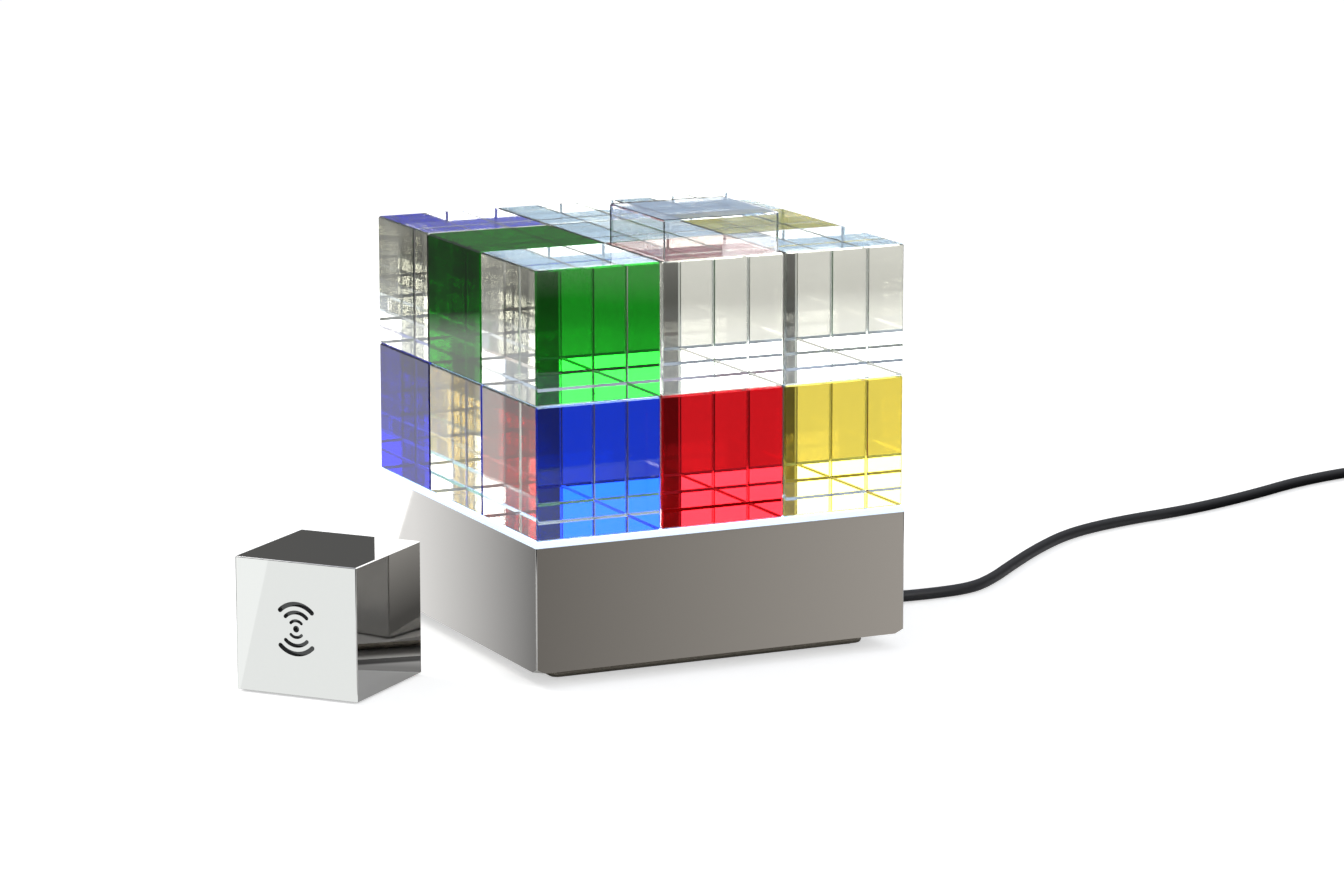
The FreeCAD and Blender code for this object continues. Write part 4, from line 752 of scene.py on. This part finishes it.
class CUBELIGHT_OT_stage(bpy.types.Operator):
    """Lay the floor, set the light and place the camera"""
    bl_idname = "cubelight.stage"
    bl_label = "Stage"

    def execute(self, context):
        scene = context.scene
        settings = scene.cubelight_stage
        scene.view_settings.view_transform = "Standard"
        scene.cycles.max_bounces = GLASS_BOUNCES
        scene.cycles.transmission_bounces = GLASS_BOUNCES
        scene.cycles.glossy_bounces = METAL_BOUNCES
        scene.cycles.transparent_max_bounces = CARD_BOUNCES
        new_sheet("floor", [(x * FLOOR_REACH, y * FLOOR_REACH, -FLOOR_DROP)
                            for x, y in ((-1, -1), (1, -1), (1, 1), (-1, 1))],
                  [(0, 1, 2, 3)], floor_paper(settings))
        world_light(scene)
        soft_light("key_softbox", place=(-0.9, 0.75, 1.15), size=0.8, power=13.0, tint="#FFFDF8")
        soft_light("front_fill", place=(0.6, -1.5, 0.9), size=0.9, power=9.0, tint="#FFFFFF")

        lens = bpy.data.cameras.new("camera")
        lens.lens = settings.camera_lens
        lens.sensor_width = 36.0
        lens.clip_start, lens.clip_end = 0.05, 100.0
        camera = bpy.data.objects.new("camera", lens)
        camera.location = settings.camera_place
        camera.rotation_euler = (math.pi / 2 - settings.camera_drop, 0, settings.camera_azimuth)
        scene.collection.objects.link(camera)
        scene.camera = camera
        return {"FINISHED"}


# ---------------------------------------------------------------- reflector cards: painted reflections and painted light

CARD_STEPS = 8            # squares along and across a card on the floor
CARD_TOP = 1.02           # how far up the wall it is seen, where 1 is the wall's height
CARD_HEIGHT = -0.5 * FLOOR_DROP         # between the floor and what stands on it
LINE_BLUR = 0.005         # half the width over which a slanting line is soft
# painted shade: a card is dimmed where the wall meets the floor, as shade at the wall's foot
FOOT_SHADE_RISE = (0.08, 0.11)             # how far up the wall the dimmed foot ends
# the painted reflection beside the glass, a white card that only the controller's top reflects: how
# far from the shell's side, its lowest and highest edge, and its strength
TOP_CARD_GAP = 2 * MM
TOP_CARD_LOW, TOP_CARD_HIGH, TOP_CARD_STRENGTH = 0.052, 0.12, 2.2
BACK_CARDS_Y = 0.5
# the glowing cards behind the light, painted light and a painted reflection that light nothing:
# left, right, lowest and highest edge, strength, colour, and the rays that see each
BACK_CARDS = {
    # painted light seen only through the glass, a bright window that lights nothing, low down no
    # wider to the left than the block hides
    "painted_window_low": (-0.345, -0.09, 0.10, 0.235, 12.0, "#FFFFFF", "transmission"),
    "painted_window_high": (-0.360, -0.09, 0.247, 0.280, 6.0, "#FFFFFF", "transmission"),
    # a painted reflection, a pale blue patch that only the cap's top reflects, above what the
    # cubes' tops reflect
    "cap_painted_reflection": (0.205, 0.330, 0.2553, 0.270, 0.75, "#BFD3F5", "glossy"),
}


def only_seen(card, kind):
    """Hide a card from every ray but one kind."""
    for other in ("camera", "diffuse", "glossy", "transmission", "shadow", "volume_scatter"):
        setattr(card, f"visible_{other}", other == kind)


def seen_on_floor(eye, point, normal):
    """Where on the floor the eye looks when it sees a wall's point as a mirror."""
    behind = eye - 2 * (eye - point).dot(normal) * normal
    return behind + (point - behind) * behind.z / (behind.z - point.z)


def card_light(name, tint, shades, line, foot_shade):
    """The painted reflection's light: a card on the floor glows by what the wall shows of it: U
    runs along the wall and V up it. Its shades are the strength at the wall's start, the strength
    further on, and how far along that is reached. It may step up past a slanting line, a painted
    bright zone, given by its places at the foot and at the top and the strength there. Right at the
    wall it can be dimmed to a share, a painted shade at the wall's foot."""
    material, tree, output = new_material(name)
    places = add(tree, "ShaderNodeSeparateXYZ", {
        "Vector": add(tree, "ShaderNodeTexCoord").outputs["UV"]})
    along, up = places.outputs["X"], places.outputs["Y"]
    first, last, last_at = shades
    strength = add(tree, "ShaderNodeMapRange", {
        "Value": along, "From Min": 0.0, "From Max": last_at,
        "To Min": first, "To Max": last}).outputs["Result"]
    if line:
        at_foot, at_top, brighter = line
        slant = add(tree, "ShaderNodeMath", {0: up, 1: at_foot - at_top, 2: along},
                    operation="MULTIPLY_ADD").outputs["Value"]
        past = add(tree, "ShaderNodeMapRange", {
            "Value": slant, "From Min": at_foot - LINE_BLUR, "From Max": at_foot + LINE_BLUR,
            "To Min": 0.0, "To Max": 1.0}).outputs["Result"]
        strength = add(tree, "ShaderNodeMix", {"Factor": past, "A": strength, "B": brighter},
                       data_type="FLOAT").outputs["Result"]
    undimmed = add(tree, "ShaderNodeMapRange", {
        "Value": up, "From Min": FOOT_SHADE_RISE[0], "From Max": FOOT_SHADE_RISE[1],
        "To Min": foot_shade, "To Max": 1.0}).outputs["Result"]
    shade = add(tree, "ShaderNodeMath", {0: strength, 1: undimmed},
                operation="MULTIPLY").outputs["Value"]
    glow = add(tree, "ShaderNodeEmission", {"Color": opaque(linear(tint)), "Strength": shade})
    tree.links.new(glow.outputs["Emission"], output.inputs["Surface"])
    return material


def mirrored_card(name, start, end, top, shades, line=None, tint="#FFFFFF", beyond=(-0.1, 1.6),
                  foot_shade=1.0):
    """A painted reflection: a glowing card on the floor that only metal reflects, laid out from the
    camera's place so that an upright wall shows it where it would show the floor. The wall runs
    from its start to its end and up to its top, and the card reaches beyond it, from one share of
    that length to another."""
    eye = Vector(bpy.context.scene.cubelight_stage.camera_place)
    run = end - start
    normal = Vector((run.y, -run.x, 0)).normalized()
    normal *= math.copysign(1, normal.dot(eye - start))
    spots, marks, squares = [], [], []
    for i in range(CARD_STEPS + 1):
        for j in range(CARD_STEPS + 1):
            u = beyond[0] + (beyond[1] - beyond[0]) * i / CARD_STEPS
            v = CARD_TOP * j / CARD_STEPS
            spot = seen_on_floor(eye, start + run * u + Vector((0, 0, top * v)), normal)
            spots.append((spot.x, spot.y, CARD_HEIGHT))
            marks.append((u, v))
            if i and j:
                last = len(spots) - 1
                squares.append((last, last - 1, last - CARD_STEPS - 2, last - CARD_STEPS - 1))
    card = new_sheet(name, spots, squares, card_light(name, tint, shades, line, foot_shade))
    layer = card.data.uv_layers.new(name="wall")
    for loop in card.data.loops:
        layer.data[loop.index].uv = marks[loop.vertex_index]
    only_seen(card, "glossy")


def glowing_card(name, corners, strength, tint, seen_by):
    """An upright card that glows from its front only and is seen by one kind of ray alone, so that
    it lights nothing: painted light or a painted reflection. Its corners are counted against the
    clock as seen from there."""
    material, tree, output = new_material(name)
    behind = add(tree, "ShaderNodeNewGeometry").outputs["Backfacing"]
    glow = add(tree, "ShaderNodeEmission", {"Color": opaque(linear(tint)), "Strength": strength})
    clear = add(tree, "ShaderNodeBsdfTransparent")
    side = add(tree, "ShaderNodeMixShader", {0: behind, 1: glow.outputs[0], 2: clear.outputs[0]})
    tree.links.new(side.outputs["Shader"], output.inputs["Surface"])
    only_seen(new_sheet(name, corners, [tuple(range(len(corners)))], material), seen_by)


class CUBELIGHT_OT_cards(bpy.types.Operator):
    """Place the glowing cards that paint reflections on the polished walls and painted light seen
    through the glass
    """
    bl_idname = "cubelight.cards"
    bl_label = "Reflector Cards"

    def execute(self, context):
        low, high = SHELL_LOW, SHELL_HIGH
        near = Vector((low.x, low.y, 0))
        # painted reflections: cards on the floor laid out from the camera's place and seen only by
        # the polished walls, with painted shade at the walls' feet
        mirrored_card("left_wall_painted_reflection", near, Vector((low.x, high.y, 0)), high.z,
                      shades=(0.295, 1.2, 0.77), line=(1.01, 0.77, 2.2), foot_shade=0.2)
        mirrored_card("front_wall_painted_reflection", near, Vector((high.x, low.y, 0)), high.z,
                      shades=(0.245, 0.55, 1.0), tint="#FFF9F1", beyond=(-0.05, 1.1), foot_shade=0.2)
        # the controller's front runs between its two nearest upright corners
        points = [vertex.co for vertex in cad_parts["controller_shell"].data.vertices]
        left = min(points, key=lambda point: point.x)
        nearest = min(points, key=lambda point: point.y)
        mirrored_card("controller_painted_reflection", Vector((nearest.x, nearest.y, 0)),
                      Vector((left.x, left.y, 0)), max(point.z for point in points),
                      shades=(1.42, 1.42, 1.0), line=(0.98, 0.73, 1.58), tint="#F8FCFC",
                      beyond=(-0.3, 1.4))
        # painted reflection for the controller's top: a white card that no other ray sees
        side = low.x - TOP_CARD_GAP
        glowing_card("top_painted_reflection", [
            (side, low.y, TOP_CARD_LOW), (side, low.y, TOP_CARD_HIGH),
            (side, high.y, TOP_CARD_HIGH), (side, high.y, TOP_CARD_LOW)],
            TOP_CARD_STRENGTH, "#FFFFFF", "glossy")
        # painted light seen through the glass, and a painted reflection on the cap's top
        for name, (first, last, lowest, highest, *looks) in BACK_CARDS.items():
            glowing_card(name, [
                (first, BACK_CARDS_Y, lowest), (last, BACK_CARDS_Y, lowest),
                (last, BACK_CARDS_Y, highest), (first, BACK_CARDS_Y, highest)], *looks)
        return {"FINISHED"}


# ---------------------------------------------------------------- the add-on

class CUBELIGHT_PT_panel(bpy.types.Panel):
    """Buttons of the light's pieces in the sidebar of the 3D view"""
    bl_idname = "CUBELIGHT_PT_panel"
    bl_label = "Cube Light"
    bl_space_type = "VIEW_3D"
    bl_region_type = "UI"
    bl_category = "Cube Light"

    def draw(self, context):
        for operator in OPERATORS:
            self.layout.operator(operator.bl_idname)
        for _, name in SETTINGS:
            group = getattr(context.scene, name)
            box = self.layout.box()
            for key in group.__annotations__:
                box.prop(group, key)


SETTINGS = [(CrystalSettings, "cubelight_crystal"), (BaseSettings, "cubelight_base"),
            (ControllerSettings, "cubelight_controller"), (LeadSettings, "cubelight_lead"),
            (StageSettings, "cubelight_stage")]
OPERATORS = [CUBELIGHT_OT_stage, CUBELIGHT_OT_lead, CUBELIGHT_OT_cards, CUBELIGHT_OT_crystal,
             CUBELIGHT_OT_base, CUBELIGHT_OT_light_engine, CUBELIGHT_OT_driver,
             CUBELIGHT_OT_adapter, CUBELIGHT_OT_controller]


def register():
    for group, name in SETTINGS:
        bpy.utils.register_class(group)
        setattr(bpy.types.Scene, name, bpy.props.PointerProperty(type=group))
    for kind in (*OPERATORS, CUBELIGHT_PT_panel):
        bpy.utils.register_class(kind)


def unregister():
    for kind in reversed((*OPERATORS, CUBELIGHT_PT_panel)):
        bpy.utils.unregister_class(kind)
    for group, name in reversed(SETTINGS):
        delattr(bpy.types.Scene, name)
        bpy.utils.unregister_class(group)


def main():
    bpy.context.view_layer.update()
    register()
    for operator in OPERATORS:
        group, name = operator.bl_idname.split(".")
        getattr(getattr(bpy.ops, group), name)()


if __name__ == "__main__":
    main()
